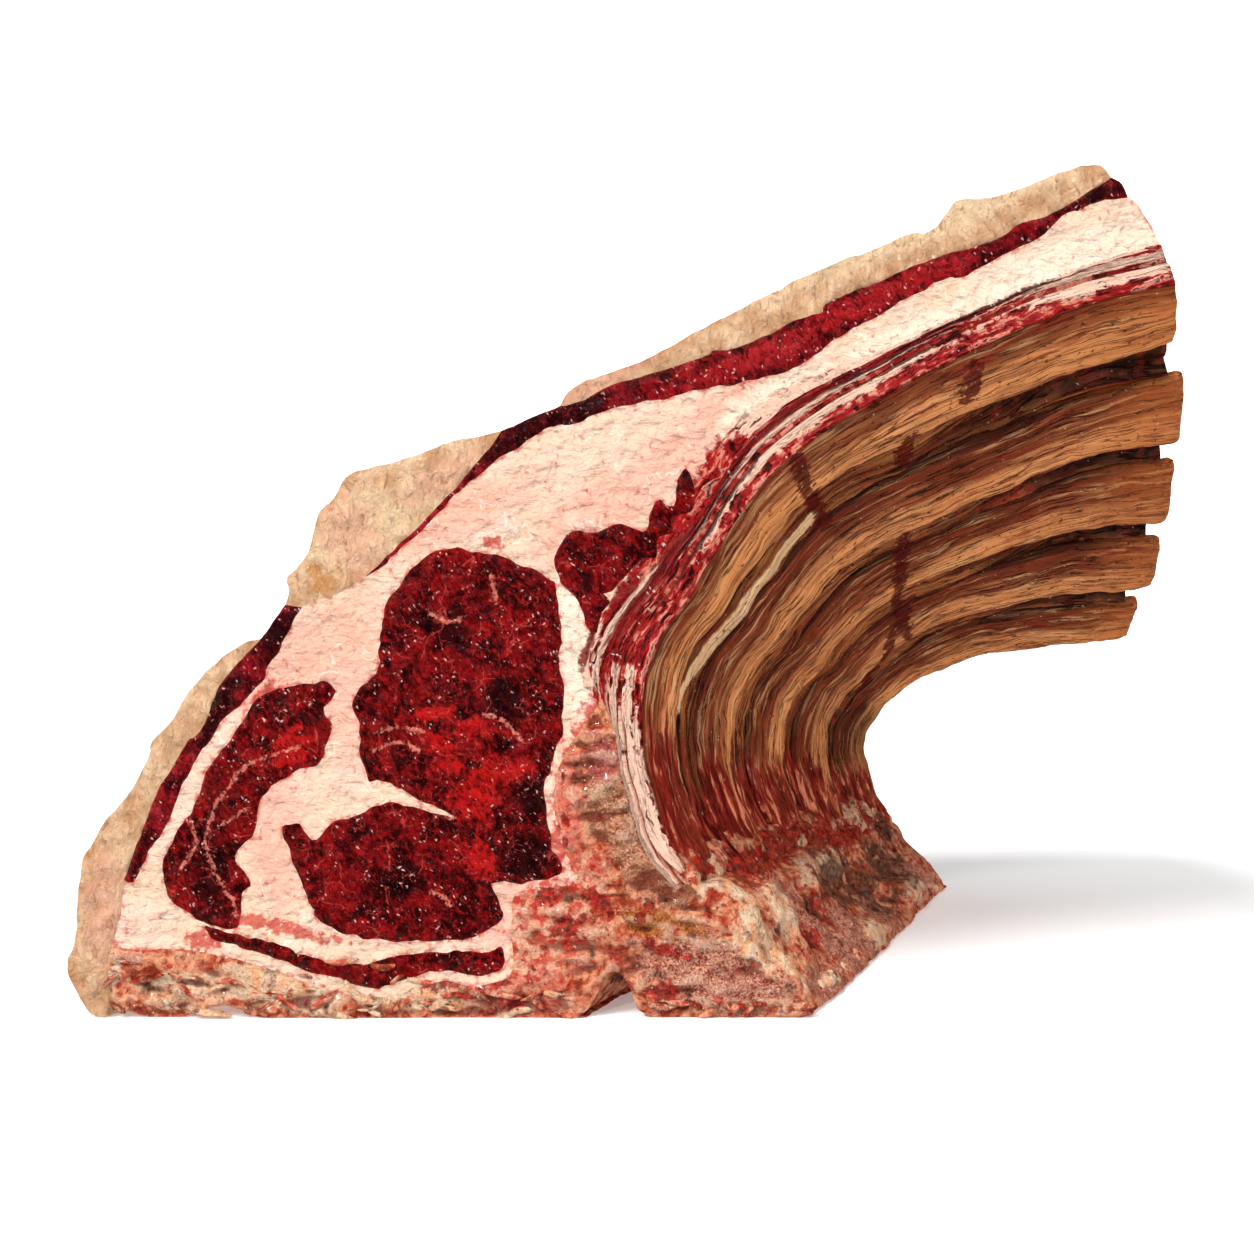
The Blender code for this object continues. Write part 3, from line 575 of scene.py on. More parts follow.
def lining(material):
    """The meat between and behind the bones, as one block wrapped round the arch."""
    j_count = 150
    r_count = 9
    shape = (S_COUNT, j_count, r_count)
    ids = -np.ones(shape, dtype=np.int64)
    surface = np.ones(shape, dtype=bool)
    surface[1:-1, 1:-1, 1:-1] = False
    ids[surface] = np.arange(surface.sum())
    i, j, r = np.nonzero(surface)
    depth = j / (j_count - 1) * DEPTH
    share = r / (r_count - 1)
    s = S_LENGTH[i]
    streak = np.column_stack([s, depth, np.zeros(len(s))])
    level = wall_level(s / S_LENGTH[-1], depth, streak)
    level = np.where(j == 0, LINING_FRONT, level)
    inner = WALL.point(i, depth, level)
    outer = WALL.at(WALL.flanks, i, depth)
    room = np.linalg.norm(outer - WALL.at(WALL.arcs, i, depth), axis=1)
    inner = np.where((level > room - 1.5)[:, None], WALL.point(i, depth, room - 1.5), inner)
    xz = inner * (1.0 - share)[:, None] + outer * share[:, None]
    points = to_frame(xz, depth)
    plan = ARC_FINE[i] * (1.0 - share)[:, None] + FLANK_FINE[i] * share[:, None]
    points = lumps(points, plan, depth / DEPTH, HARD_LUMPS)
    ridges = 0.5 * noise(np.column_stack([s * 0.06, share * room, depth * 0]), 1.0, 77)
    points[:, 1] += np.where(j == 0, ridges * np.sin(np.pi * share), 0.0)
    body = Body()
    body.add(points, way=np.column_stack([s, depth, share * room]), front=(j == 0).astype(float),
             **paint_lining(s, depth, share, i))

    for grid, flip in ((ids[:, :, 0], True), (ids[:, :, -1], False), (ids[:, 0, :], False),
                       (ids[:, -1, :], True), (ids[0], True), (ids[-1], False)):
        a, b, c, d = grid[:-1, :-1], grid[1:, :-1], grid[1:, 1:], grid[:-1, 1:]
        b, d = (d, b) if flip else (b, d)
        body.quads(a.ravel(), b.ravel(), c.ravel(), d.ravel())
    body.build("rib_lining_look", "rib_lining", material, 60.0)


def bone(number, material):
    """One rib: an uneven oval bar that follows the arch and ends in a sawn tip."""
    around = 56
    first, reach = COLLAR_AT, RIB_OVERHANG[number]
    line = np.concatenate([np.arange(first, S_COUNT), np.full(4, S_COUNT - 1)])
    past = np.concatenate([np.zeros(S_COUNT - first), reach * np.array((0.55, 0.8, 0.95, 1.0))])
    rows = len(line)
    i, onward = np.repeat(line, around), np.repeat(past, around)
    turn = np.tile(np.linspace(0.0, 2.0 * np.pi, around, endpoint=False), rows)
    c, h = np.cos(turn), np.sin(turn)
    s = S_LENGTH[i] + onward
    squeeze = 1.0 - 0.10 * (onward / reach) ** 4
    start = np.minimum((i - first) / 10.0, 1.0)
    thin = np.clip((WALL_WIDTH[i] - 2.6) / 8.0, 0.35, 1.0)
    way = np.column_stack([s * 0.16, c * 9.0, h * 9.0 + 50.0 * number])

    width = RIB_HALF_WIDTH * (1.0 + 0.05 * np.sin(s / 37.0 + number * 2.1)) * squeeze
    offset = width * np.sign(c) * np.abs(c) ** 0.75 * (0.7 + 0.3 * start)
    offset += 0.8 * noise(way, 5.0, 90 + number)
    lean = smoothstep(-0.7, 0.6, offset / RIB_HALF_WIDTH)
    up = np.where(h > 0, 7.4 * thin, (2.4 + 2.6 * lean) * (0.4 + 0.6 * start))
    inward = up * np.sign(h) * np.abs(h) ** 0.85 * squeeze
    rough = 0.7 * noise(way, 3.0, 60 + number) + 0.4 * noise(way, 1.3, 70 + number)
    inward += rough * (h < 0.3)

    depth = np.clip(RIB_CENTRES[number] + offset, 0.0, DEPTH)
    points = to_frame(WALL.point(i, depth, inward, onward), depth)
    points = lumps(points, ARC_FINE[i], depth / DEPTH, HARD_LUMPS)
    values = paint_bone(s, depth, inward, onward > 0.0)
    values["way"] = np.column_stack([s, depth + 300.0 * number, inward])
    # Painted light: the far side of each bone is coloured lighter, as if lit, by a share from 0 to 1.
    values["lit_side"] = smoothstep(-0.75, 0.55, offset / RIB_HALF_WIDTH)
    body = Body()
    rings = body.add(points, **values).reshape(rows, around)
    body.tube(rings)

    for ring, outward in ((rings[0], False), (rings[-1], True)):
        middle = points[ring].mean(axis=0)
        previous = ring
        for t in (0.72, 0.44, 0.2):
            spots = middle + (points[ring] - middle) * t
            spots[:, 0] += 0.5 * outward * noise(points[ring] * (1.0 + t), 3.0, 8)
            inner = {key: rows[ring] for key, rows in values.items()}
            inner["tip"] = np.full(around, float(outward))
            ids = body.add(spots, **inner)
            fore, aft = (previous, ids) if outward else (ids, previous)
            body.quads(fore, aft, np.roll(aft, -1), np.roll(fore, -1))
            previous = ids
        body.cap(previous, middle, {key: rows[:1] for key, rows in inner.items()}, outward)
    body.build(f"rib_{number + 1}_look", f"rib_{number + 1}", material, 60.0)


# Materials. Plain triples are colours as seen in daylight, 0 to 255.

def linear(tone):
    """A triple from 0 to 255 as linear light. Anything else is passed on as it is."""
    if not isinstance(tone, tuple) or len(tone) != 3:
        return tone
    return tuple(((c / 255 + 0.055) / 1.055) ** 2.4 for c in tone) + (1.0,)


class Paint:
    """One procedural material, built from short calls. Lengths are millimetres."""

    def __init__(self, name):
        self.material = bpy.data.materials.new(name)
        self.material.use_nodes = True
        self.tree = self.material.node_tree
        self.shader = self.tree.nodes["Principled BSDF"]
        coords = self.tree.nodes.new("ShaderNodeTexCoord")
        self.place = self.stretch(coords.outputs["Object"], (1000.0, 1000.0, 1000.0))
        self.colour = None

    def node(self, kind, values, **settings):
        node = self.tree.nodes.new("ShaderNode" + kind)
        for key, value in settings.items():
            setattr(node, key, value)
        for key, value in values.items():
            self.put(node.inputs[key], value)
        return node

    def put(self, socket, value):
        if isinstance(value, bpy.types.NodeSocket):
            self.tree.links.new(value, socket)
        else:
            socket.default_value = value

    def stretch(self, vector, factors):
        return self.node("VectorMath", {0: vector, 1: factors}, operation="MULTIPLY").outputs[0]

    def warp(self, vector, size, amount):
        shake = self.node("TexNoise", {"Vector": vector, "Scale": 1.0 / size, "Detail": 2.0})
        centred = self.node("VectorMath", {0: shake.outputs["Color"], 1: (0.5, 0.5, 0.5)},
                            operation="SUBTRACT").outputs[0]
        moved = self.stretch(centred, (2.0 * amount,) * 3)
        return self.node("VectorMath", {0: vector, 1: moved}, operation="ADD").outputs[0]

    def value(self, name):
        return self.node("Attribute", {}, attribute_name=name).outputs["Fac"]

    def vector(self, name):
        return self.node("Attribute", {}, attribute_name=name).outputs["Vector"]

    def math(self, operation, a, b):
        return self.node("Math", {0: a, 1: b}, operation=operation).outputs[0]

    def add(self, a, b):
        return self.math("ADD", a, b)

    def times(self, a, b):
        return self.math("MULTIPLY", a, b)

    def scale_up(self, value, factor, start):
        return self.node("Math", {0: value, 1: factor, 2: start},
                         operation="MULTIPLY_ADD").outputs[0]

    def step(self, value, low, high):
        return self.node("MapRange", {"Value": value, "From Min": low, "From Max": high},
                         interpolation_type="SMOOTHSTEP").outputs["Result"]

    def crest(self, value, wide, narrow):
        """Thin lines where a noise crosses its middle."""
        return self.step(self.math("ABSOLUTE", self.math("SUBTRACT", value, 0.5), 0.0), wide, narrow)

    def mix(self, share, a, b):
        return self.node("Mix", {0: share, 6: linear(a), 7: linear(b)}, data_type="RGBA").outputs[2]

    def blend(self, value, low, high, a, b):
        """Tone a at the low value, tone b at the high one."""
        return self.mix(self.step(value, low, high), a, b)

    def lay(self, mask, tone, share=1.0):
        """Paint a tone over the colour so far."""
        mask = mask if share == 1.0 else self.times(mask, share)
        self.colour = self.mix(mask, self.colour, tone)

    def noise(self, size, detail=3.0, vector=None, rough=0.5):
        return self.node("TexNoise", {"Vector": vector or self.place, "Scale": 1.0 / size,
                                      "Detail": detail, "Roughness": rough}).outputs[0]

    def cells(self, size, vector=None, feature="F1"):
        return self.node("TexVoronoi", {"Vector": vector or self.place, "Scale": 1.0 / size,
                                        "Randomness": 1.0}, feature=feature).outputs["Distance"]

    def groups(self, mask, size, low, high, detail=3.0):
        """The mask in some places only."""
        return self.times(mask, self.step(self.noise(size, detail), low, high))

    def patch(self, name, size, sharp, strength, vector=None):
        """A painted area with an edge broken up by noise."""
        rough = self.scale_up(self.noise(size, 4.0, vector, 0.6), strength, -0.5 * strength)
        return self.step(self.add(self.value(name), rough), 0.5 - sharp, 0.5 + sharp)

    def turned(self, vector, degrees):
        """Turned about the Y axis, in the plane of the cut face."""
        return self.node("VectorRotate", {"Vector": vector, "Axis": (0.0, 1.0, 0.0),
                                          "Angle": np.radians(degrees)}).outputs[0]

    def flecks(self, size, share, vector=None):
        """Small round spots; share is the part of the cell that a spot covers."""
        return self.step(self.cells(size, vector), share, share * 0.55)

    def glints(self, size, share, low=0.45, angle=40.0):
        """Painted highlights: small drawn-out pale spots that come in groups."""
        bent = self.turned(self.warp(self.place, 3.0, 1.2), angle)
        drawn = self.flecks(size, share, self.stretch(bent, (1.0, 1.0, 0.45)))
        return self.groups(drawn, 5.0, low, low + 0.08)

    def finish(self, rough, reliefs, coat=0.0, soft=0.0, specular=0.3):
        """Join colour, roughness and relief, given as (height, depth in millimetres) pairs."""
        normal = None
        for height, depth in reliefs:
            values = {"Height": height, "Distance": depth * MM, "Strength": 1.0}
            if normal:
                values["Normal"] = normal
            normal = self.node("Bump", values).outputs[0]
        for name, value in (("Base Color", self.colour), ("Roughness", rough), ("Normal", normal),
                            ("Coat Weight", coat), ("Coat Roughness", 0.08),
                            ("Subsurface Weight", soft), ("Subsurface Radius", (1.0, 0.35, 0.2)),
                            ("Subsurface Scale", 0.004), ("Specular IOR Level", specular)):
            self.put(self.shader.inputs[name], value)
        return self.material


def meat_material(name, dark, middle, bright, marbling=1.0):
    """Dark, glossy meat: bundles of fibre with fat marbling and many small painted glints."""
    p = Paint(name)
    tilted = p.stretch(p.turned(p.warp(p.place, 12.0, 3.0), 30.0), (1.0, 1.0, 0.55))
    grain = p.noise(1.7, 3.0, tilted, 0.6)
    p.colour = p.blend(p.noise(8.0, 5.0, rough=0.6), 0.40, 0.60, dark, middle)
    p.lay(p.patch("bright", 3.0, 0.35, 3.4), bright, 0.8)
    p.lay(p.step(grain, 0.52, 0.68), bright, 0.4)
    p.lay(p.step(grain, 0.47, 0.33), (24, 1, 3), 0.7)
    p.lay(p.patch("black", 6.0, 0.3, 2.2), (15, 1, 4), 0.8)
    bent = p.warp(p.warp(p.place, 14.0, 6.0), 2.5, 0.9)
    lines = p.groups(p.step(p.cells(11.0, bent, "DISTANCE_TO_EDGE"), 0.034, 0.006), 8.0, 0.53, 0.61)
    hairs = p.groups(p.step(p.cells(4.0, bent, "DISTANCE_TO_EDGE"), 0.045, 0.010), 5.0, 0.56, 0.64)
    drawn = p.patch("vein", 1.6, 0.22, 2.4)
    veins = p.times(p.math("MAXIMUM", lines, hairs), marbling)
    p.lay(veins, (200, 66, 58), 0.55)
    p.lay(drawn, (226, 122, 104), 0.8)
    p.lay(p.groups(p.step(p.value("edge"), 1.0, 0.2), 5.0, 0.45, 0.62), (170, 40, 38), 0.4)
    # Painted highlights: pale glints laid into the base colour.
    painted_glints = p.math("MAXIMUM", p.glints(1.9, 0.20, 0.46), p.glints(3.0, 0.15, 0.52, -50.0))
    p.lay(painted_glints, (246, 190, 180), 0.7)
    return p.finish(p.scale_up(p.noise(4.0, 2.0), 0.2, 0.05),
                    ((p.cells(2.8, tilted, "SMOOTH_F1"), -3.0), (grain, 2.0),
                     (p.math("MAXIMUM", veins, drawn), 0.3)), specular=0.5)


def lay_strip(p, mask):
    """Streaks of fat, meat and sawn bone beside the arch. Returns the height of their relief."""
    under = p.colour
    pulled = p.stretch(p.warp(p.vector("strip"), 9.0, 2.4), (1.0 / 17.0, 1.0, 1.0 / 2.6))
    strips = p.noise(1.0, 5.0, pulled, 0.62)
    p.colour = p.blend(strips, 0.38, 0.49, (50, 2, 6), (164, 16, 18))
    p.lay(p.step(strips, 0.51, 0.62), (238, 142, 118))
    p.lay(p.step(strips, 0.62, 0.72), (252, 218, 194), 0.7)
    for name, tone in (("white", (248, 204, 178)), ("redmeat", (126, 6, 10)), ("black", (48, 4, 14))):
        p.lay(p.patch(name, 1.0, 0.2, 3.0, pulled), tone, 0.9)
    # Painted highlights: pale glints in the base colour.
    p.lay(p.glints(2.2, 0.20, 0.50), (255, 232, 222), 0.7)
    p.colour = p.mix(mask, under, p.colour)
    return p.times(strips, mask)


def seam_fat_material():
    """Smooth creamy fat that turns pink beside the muscles."""
    p = Paint("seam_fat")
    p.colour = p.blend(p.noise(22.0), 0.36, 0.64, (238, 202, 172), (244, 206, 184))
    p.lay(p.patch("pink", 9.0, 0.4, 1.2), (242, 174, 152), 0.7)
    p.lay(p.patch("white", 10.0, 0.4, 1.2), (247, 224, 200))
    ripple = p.noise(4.5, 5.0, p.warp(p.stretch(p.place, (0.5, 1.0, 1.0)), 9.0, 4.0), 0.6)
    p.lay(p.step(ripple, 0.55, 0.68), (236, 160, 134), 0.3)
    p.lay(p.groups(p.crest(p.noise(19.0), 0.012, 0.003), 13.0, 0.5, 0.58, 2.0), (255, 236, 218), 0.6)
    p.lay(p.groups(p.flecks(2.8, 0.10), 9.0, 0.52, 0.6, 2.0), (204, 120, 90), 0.5)
    p.lay(p.patch("red", 3.0, 0.3, 3.0), (196, 40, 32), 0.8)
    p.lay(p.groups(p.step(p.value("edge"), 1.7, 0.3), 3.0, 0.44, 0.60, 4.0), (204, 72, 60), 0.7)
    strips = lay_strip(p, p.patch("streaky", 4.0, 0.15, 1.4))
    # Painted highlights: pale glints in the base colour.
    p.lay(p.glints(2.6, 0.15, 0.52), (255, 244, 236), 0.6)
    return p.finish(p.scale_up(ripple, -0.4, 0.46),
                    ((p.noise(11.0, 2.0), 5.0), (ripple, 2.6), (strips, 1.8), (p.noise(2.2), 0.8)),
                    coat=0.3, soft=0.12)


def cover_fat_material():
    """Dry, lumpy, yellowish outer fat with brown specks."""
    p = Paint("cover_fat")
    p.colour = p.blend(p.noise(13.0, 4.0), 0.38, 0.64, (214, 162, 120), (240, 200, 160))
    lump = p.cells(7.0, p.warp(p.place, 6.0, 2.5), "SMOOTH_F1")
    p.lay(p.step(lump, 0.42, 0.75), (188, 128, 84), 0.5)
    p.lay(p.patch("pale", 6.0, 0.3, 1.4), (243, 208, 166), 0.8)
    p.lay(p.patch("yellow", 3.0, 0.25, 2.6), (206, 134, 52), 0.6)
    p.lay(p.patch("pink", 7.0, 0.3, 1.8), (232, 168, 140), 0.6)
    p.lay(p.groups(p.flecks(2.6, 0.15), 8.0, 0.48, 0.58, 2.0), (150, 82, 44), 0.7)
    fibre = p.noise(3.0, 5.0, p.warp(p.stretch(p.place, (1.0, 1.0, 0.6)), 6.0, 3.0), 0.68)
    p.lay(p.step(fibre, 0.46, 0.34), (176, 112, 72), 0.6)
    p.lay(p.step(fibre, 0.56, 0.68), (252, 222, 190), 0.5)
    # Painted highlights: pale glints in the base colour.
    p.lay(p.glints(2.8, 0.15, 0.50), (255, 244, 230), 0.6)
    return p.finish(p.scale_up(lump, 0.3, 0.42), ((lump, -3.0), (fibre, 3.5)), coat=0.06, soft=0.08)


def streaks(p, along, across, seed=0.0, detail=4.0):
    """Noise drawn out along the bones. The attribute holds (along, depth, inward)."""
    way = p.node("VectorMath", {0: p.vector("way"), 1: (seed, seed, seed)}, operation="ADD")
    pulled = p.stretch(way.outputs[0], (1.0 / along, 1.0 / across, 1.0 / across))
    return p.noise(1.0, detail, pulled, 0.58)


def streaked(p, seed):
    """Long streaks in three widths and thin dark creases."""
    return (streaks(p, 90.0, 6.5, seed), streaks(p, 50.0, 3.0, seed + 40.0, 3.0),
            streaks(p, 30.0, 1.2, seed + 80.0),
            p.crest(streaks(p, 80.0, 4.0, seed + 120.0, 3.0), 0.022, 0.004))


def lay_fresh_foot(p, low, high):
    """Blood drips, then raw meat on the lower ends of the bones, and painted glints all over."""
    p.lay(p.patch("blood", 2.6, 0.2, 3.4), (92, 8, 4), 0.88)
    strands = streaks(p, 19.0, 4.2, 310.0)
    flesh = p.blend(strands, 0.42, 0.51, low, (150, 26, 16))
    flesh = p.blend(strands, 0.53, 0.62, flesh, high)
    uneven = p.scale_up(streaks(p, 60.0, 9.0, 350.0), 2.6, -1.3)
    p.lay(p.step(p.add(p.value("foot"), uneven), 0.3, 0.75), flesh, 0.92)
    # Painted highlights: pale glints in the base colour.
    p.lay(p.glints(2.6, 0.15, 0.52), (255, 226, 190), 0.6)


def bone_material():
    """Tan ribs with long streaks, sawn tips and dried blood."""
    p = Paint("rib_bone")
    wide, fine, hair, crease = streaked(p, 0.0)
    # Painted light: the base colour is lighter towards the far side of each bone, varied by wide streaks.
    lit_side = p.add(p.value("lit_side"), p.scale_up(wide, 1.6, -0.8))
    p.colour = p.blend(lit_side, 0.1, 0.95, (132, 54, 22), (242, 154, 88))
    p.lay(p.step(fine, 0.52, 0.66), (252, 196, 136), 0.5)
    p.lay(p.step(fine, 0.48, 0.34), (84, 32, 12), 0.5)
    p.lay(p.step(hair, 0.46, 0.34), (70, 30, 14), 0.28)
    p.lay(crease, (30, 10, 5), 0.7)
    p.lay(p.step(streaks(p, 34.0, 4.0, 190.0), 0.55, 0.64), (150, 42, 16), 0.6)
    # Painted shade at the edges of the bones and at the back of the lower arch.
    p.lay(p.value("dark"), (40, 18, 10), 0.9)
    p.lay(p.groups(p.flecks(2.6, 0.17), 9.0, 0.46, 0.56, 2.0), (104, 30, 16), 0.75)
    p.lay(p.value("warm"), (206, 108, 44), 0.5)
    lay_fresh_foot(p, (104, 12, 8), (242, 146, 106))
    p.lay(p.value("tip"), p.blend(p.noise(2.2, 4.0), 0.4, 0.62, (120, 44, 20), (214, 132, 70)))
    strips = lay_strip(p, p.value("front"))
    return p.finish(p.scale_up(fine, -0.6, 0.62),
                    ((fine, 2.2), (crease, -1.2), (hair, 0.4), (strips, 1.8)), coat=0.15, specular=0.4)


def wall_material():
    """Meat and skin between the bones, darker and greyer, with painted dark red shade in crevices and
    pockets.
    """
    p = Paint("rib_wall")
    wide, fine, hair, crease = streaked(p, 500.0)
    p.colour = p.blend(wide, 0.38, 0.60, (106, 48, 22), (206, 118, 60))
    p.lay(p.step(fine, 0.52, 0.66), (226, 150, 90), 0.5)
    p.lay(p.step(fine, 0.47, 0.32), (48, 22, 10), 0.7)
    p.lay(p.step(hair, 0.45, 0.34), (44, 18, 8), 0.4)
    p.lay(crease, (16, 5, 3), 0.8)
    p.lay(p.step(streaks(p, 36.0, 3.0, 190.0), 0.54, 0.62), (126, 24, 10), 0.7)
    # Painted shade in the crevice beside each bone, and in the pockets, beside the bones and at the back
    # of the lower arch.
    p.lay(p.value("crevice"), (34, 11, 7), 0.85)
    p.lay(p.value("dark"), p.blend(p.noise(7.0), 0.47, 0.57, (22, 10, 6), (104, 18, 12)), 0.92)
    p.lay(p.times(p.patch("cream", 4.0, 0.2, 0.9), p.scale_up(fine, 1.2, 0.3)), (255, 206, 152))
    lay_fresh_foot(p, (66, 4, 4), (206, 84, 58))
    strips = lay_strip(p, p.value("front"))
    return p.finish(p.scale_up(fine, -0.6, 0.60),
                    ((fine, 3.0), (crease, -1.4), (strips, 1.8), (p.noise(1.6), 0.6)),
                    coat=0.15, specular=0.4)


def backbone_material():
    """Sawn backbone: spongy marrow, gristle, torn fat and blood, by painted areas."""
    p = Paint("backbone")
    fold = p.noise(5.0, 5.0, p.warp(p.place, 8.0, 4.0), 0.6)
    # Painted shade and light: the colour runs darker in the hollows and lighter on the crests of the
    # relief made by this noise.
    p.colour = p.blend(fold, 0.40, 0.58, (206, 88, 56), (250, 168, 126))
    p.lay(p.step(p.noise(6.0, 5.0, rough=0.62), 0.54, 0.62), (188, 36, 28), 0.8)
    p.lay(p.step(fold, 0.44, 0.34), (116, 46, 28), 0.7)
    fine = p.noise(0.9, 3.0, p.warp(p.place, 2.0, 0.5), 0.6)
    grain = p.add(p.times(fine, 0.6), p.times(p.noise(4.0), 0.4))
    soft = p.noise(6.0, 3.0, p.warp(p.place, 6.0, 4.0))
    for mask, light, deep, size, strength, tones in (
            ("pulp", (252, 184, 150), (230, 106, 82), 5.0, 2.0, soft),
            ("lilac", (236, 172, 140), (150, 50, 40), 4.0, 1.8, grain),
            ("marrow", (232, 166, 128), (150, 84, 56), 4.0, 1.4, grain),
            ("grey", (218, 120, 104), (160, 66, 62), 4.0, 1.2, grain),
            ("cream", (255, 218, 182), (255, 182, 136), 8.0, 1.8, soft),
            ("yellow", (210, 134, 66), (162, 66, 30), 3.0, 2.6, grain),
            ("pale", (252, 164, 136), (236, 112, 88), 3.0, 0.8, soft)):
        p.lay(p.patch(mask, size, 0.16, strength), p.blend(tones, 0.61, 0.39, light, deep))
    # Painted shade in the hollows and painted highlights on the crests of the cut-face relief; on the
    # scraps and the collar the same values are random tone.
    p.lay(p.step(p.value("fold"), -0.15, -0.7), (122, 46, 24), 0.8)
    p.lay(p.step(p.value("fold"), 0.2, 0.8), (255, 210, 178), 0.45)
    red = p.times(p.step(p.noise(4.6, 4.0, rough=0.6), 0.54, 0.61), p.value("pulp"))
    p.lay(red, (212, 46, 34), 0.85)
    drawn = p.warp(p.stretch(p.place, (1.0, 1.0, 0.4)), 4.0, 1.6)
    p.lay(p.times(p.flecks(4.2, 0.34, drawn), p.value("pale")), (158, 14, 20), 0.9)
    fresh = p.blend(p.noise(2.6, 4.0), 0.42, 0.60, (116, 6, 6), (208, 36, 26))
    p.lay(p.patch("blood", 4.0, 0.25, 3.6), fresh, 0.88)
    # Painted shade in the groove under the backbone and in the hollows of its open side.
    deep = p.blend(p.noise(3.0, 4.0), 0.42, 0.58, (40, 20, 12), (134, 82, 62))
    p.lay(p.patch("dark", 7.0, 0.35, 3.8), deep, 0.85)
    # Painted highlights: pale glints in the base colour.
    p.lay(p.glints(2.4, 0.17, 0.48), (255, 236, 220), 0.7)
    return p.finish(p.scale_up(p.noise(5.0), 0.4, 0.08), ((fold, 6.0), (grain, 1.6)),
                    coat=0.4, soft=0.05, specular=0.4)


# Painted areas on the cut face: centre x, centre z, half sizes and tilt in degrees.

def spots(plan, rows):
    """Share of soft ellipses: 1 inside, one half on the rim, 0 outside."""
    total = np.zeros(len(plan))
    for x, z, rx, rz, tilt in rows:
        c, s = np.cos(np.radians(tilt)), np.sin(np.radians(tilt))
        dx, dz = plan[:, 0] - x, plan[:, 1] - z
        reach = np.sqrt(((dx * c + dz * s) / rx) ** 2 + ((dz * c - dx * s) / rz) ** 2)
        total = np.maximum(total, np.clip(1.5 - reach, 0.0, 1.0))
    return total


def line_share(plan, lines, width):
    """1 on painted lines, fading to 0 over their width."""
    total = np.zeros(len(plan))
    for line in lines:
        p = smooth_line(line, 1.5)
        away = edge_distance(plan, [p])
        total = np.maximum(total, np.clip(1.0 - away / width, 0.0, 1.0))
    return total


BRIGHT_MEAT = ((-62, 106, 5, 4, 0), (-57, 98, 4.5, 4, 0), (-44, 93, 11, 5, 25), (-33, 95, 9, 3, 20),
               (-48, 84, 9, 8, 0), (-64, 117, 8, 3, 0), (-46, 112, 9, 4, 20), (-46, 60, 5, 8, 20),
               (-118, 104, 8, 8, 30))
BLACK_MEAT = ((-27, 62, 11, 9, 0), (-37, 122, 9, 9, 0), (-76, 54, 9, 7, 0), (-25, 85, 9, 7, 0),
              (-150, 60, 6, 14, 0), (-60, 150, 9, 8, 0))
BRIGHT_OUTER = ((60, 254, 36, 4, 24), (110, 278, 30, 4, 24), (-70, 190, 14, 3, 45))
BLACK_OUTER = ((-122, 148, 13, 10, 45), (-18, 229, 22, 7, 20), (-8, 236, 10, 5, 10),
               (-148, 118, 6, 16, -35), (192, 317, 9, 4, 20), (-106, 163, 16, 4, 20))
PINK_LINES = (
    ((-115.4, 104.2), (-125, 101.2), (-132.7, 98.5), (-139.6, 93.5), (-145.4, 85), (-148, 82.7),
     (-150.8, 72.3), (-151.9, 68.5), (-148, 56.2), (-141.5, 45.4), (-140, 39.2)),
    ((-157.7, 75.4), (-155, 66.5), (-161.5, 56.9)),
    ((-144.6, 74.6), (-134.6, 80.8)),
    ((-45.4, 116.9), (-38, 115), (-30, 107)),
    ((-84.6, 110), (-76, 112), (-68, 110)),
    ((-86, 103), (-77, 106), (-70, 103)),
    ((-83.5, 85.8), (-74, 84.6), (-62, 79.6), (-56.2, 76.9)),
    ((-42.3, 170.4), (-40.4, 160), (-38.5, 157)),
    ((-65.4, 155), (-58, 152), (-53.8, 153)),
    ((-65, 48.1), (-60, 46), (-57.3, 43.1)),
)
PINK_FAT = ((-120, 135, 22, 12, 45), (-95, 130, 16, 30, 0), (-65, 190, 40, 10, 20),
            (-20, 52, 16, 12, 0), (-125, 70, 10, 30, 0), (0, 195, 30, 12, 30), (30, 215, 25, 10, 30),
            (-30, 40, 30, 12, 0), (50, 235, 22, 8, 35))
WHITE_FAT = ((-10, 160, 6, 26, 0), (120, 258, 50, 9, 24), (175, 285, 40, 12, 22),
             (70, 238, 25, 8, 25), (-6.5, 138, 6, 24, -8))
RED_FAT = ((-41, 182.3, 3.5, 3, 0), (-16, 66, 5, 9, 0), (-5, 60, 8, 5, 0), (-12, 44, 14, 9, 0),
           (-21, 39, 9, 6, 0), (-60, 33, 24, 2.5, 0), (-2, 116, 5, 8, 0), (-8, 100, 4, 14, 0),
           (-130, 124, 7, 3, 45), (-128, 36, 30, 2.5, -12), (-152, 30, 8, 4, 0))
PALE_COVER = ((-92, 188, 20, 14, 30), (-62, 205, 20, 7, 20), (130, 306, 60, 6, 24))
YELLOW_COVER = ((-105.8, 166.5, 5, 5, 0), (-109, 172, 3, 3, 0))
PINK_COVER = ((-95, 185, 10, 16, 30), (-60, 208, 18, 6, 30), (-190, 40, 8, 22, 0), (0, 245, 20, 5, 30))

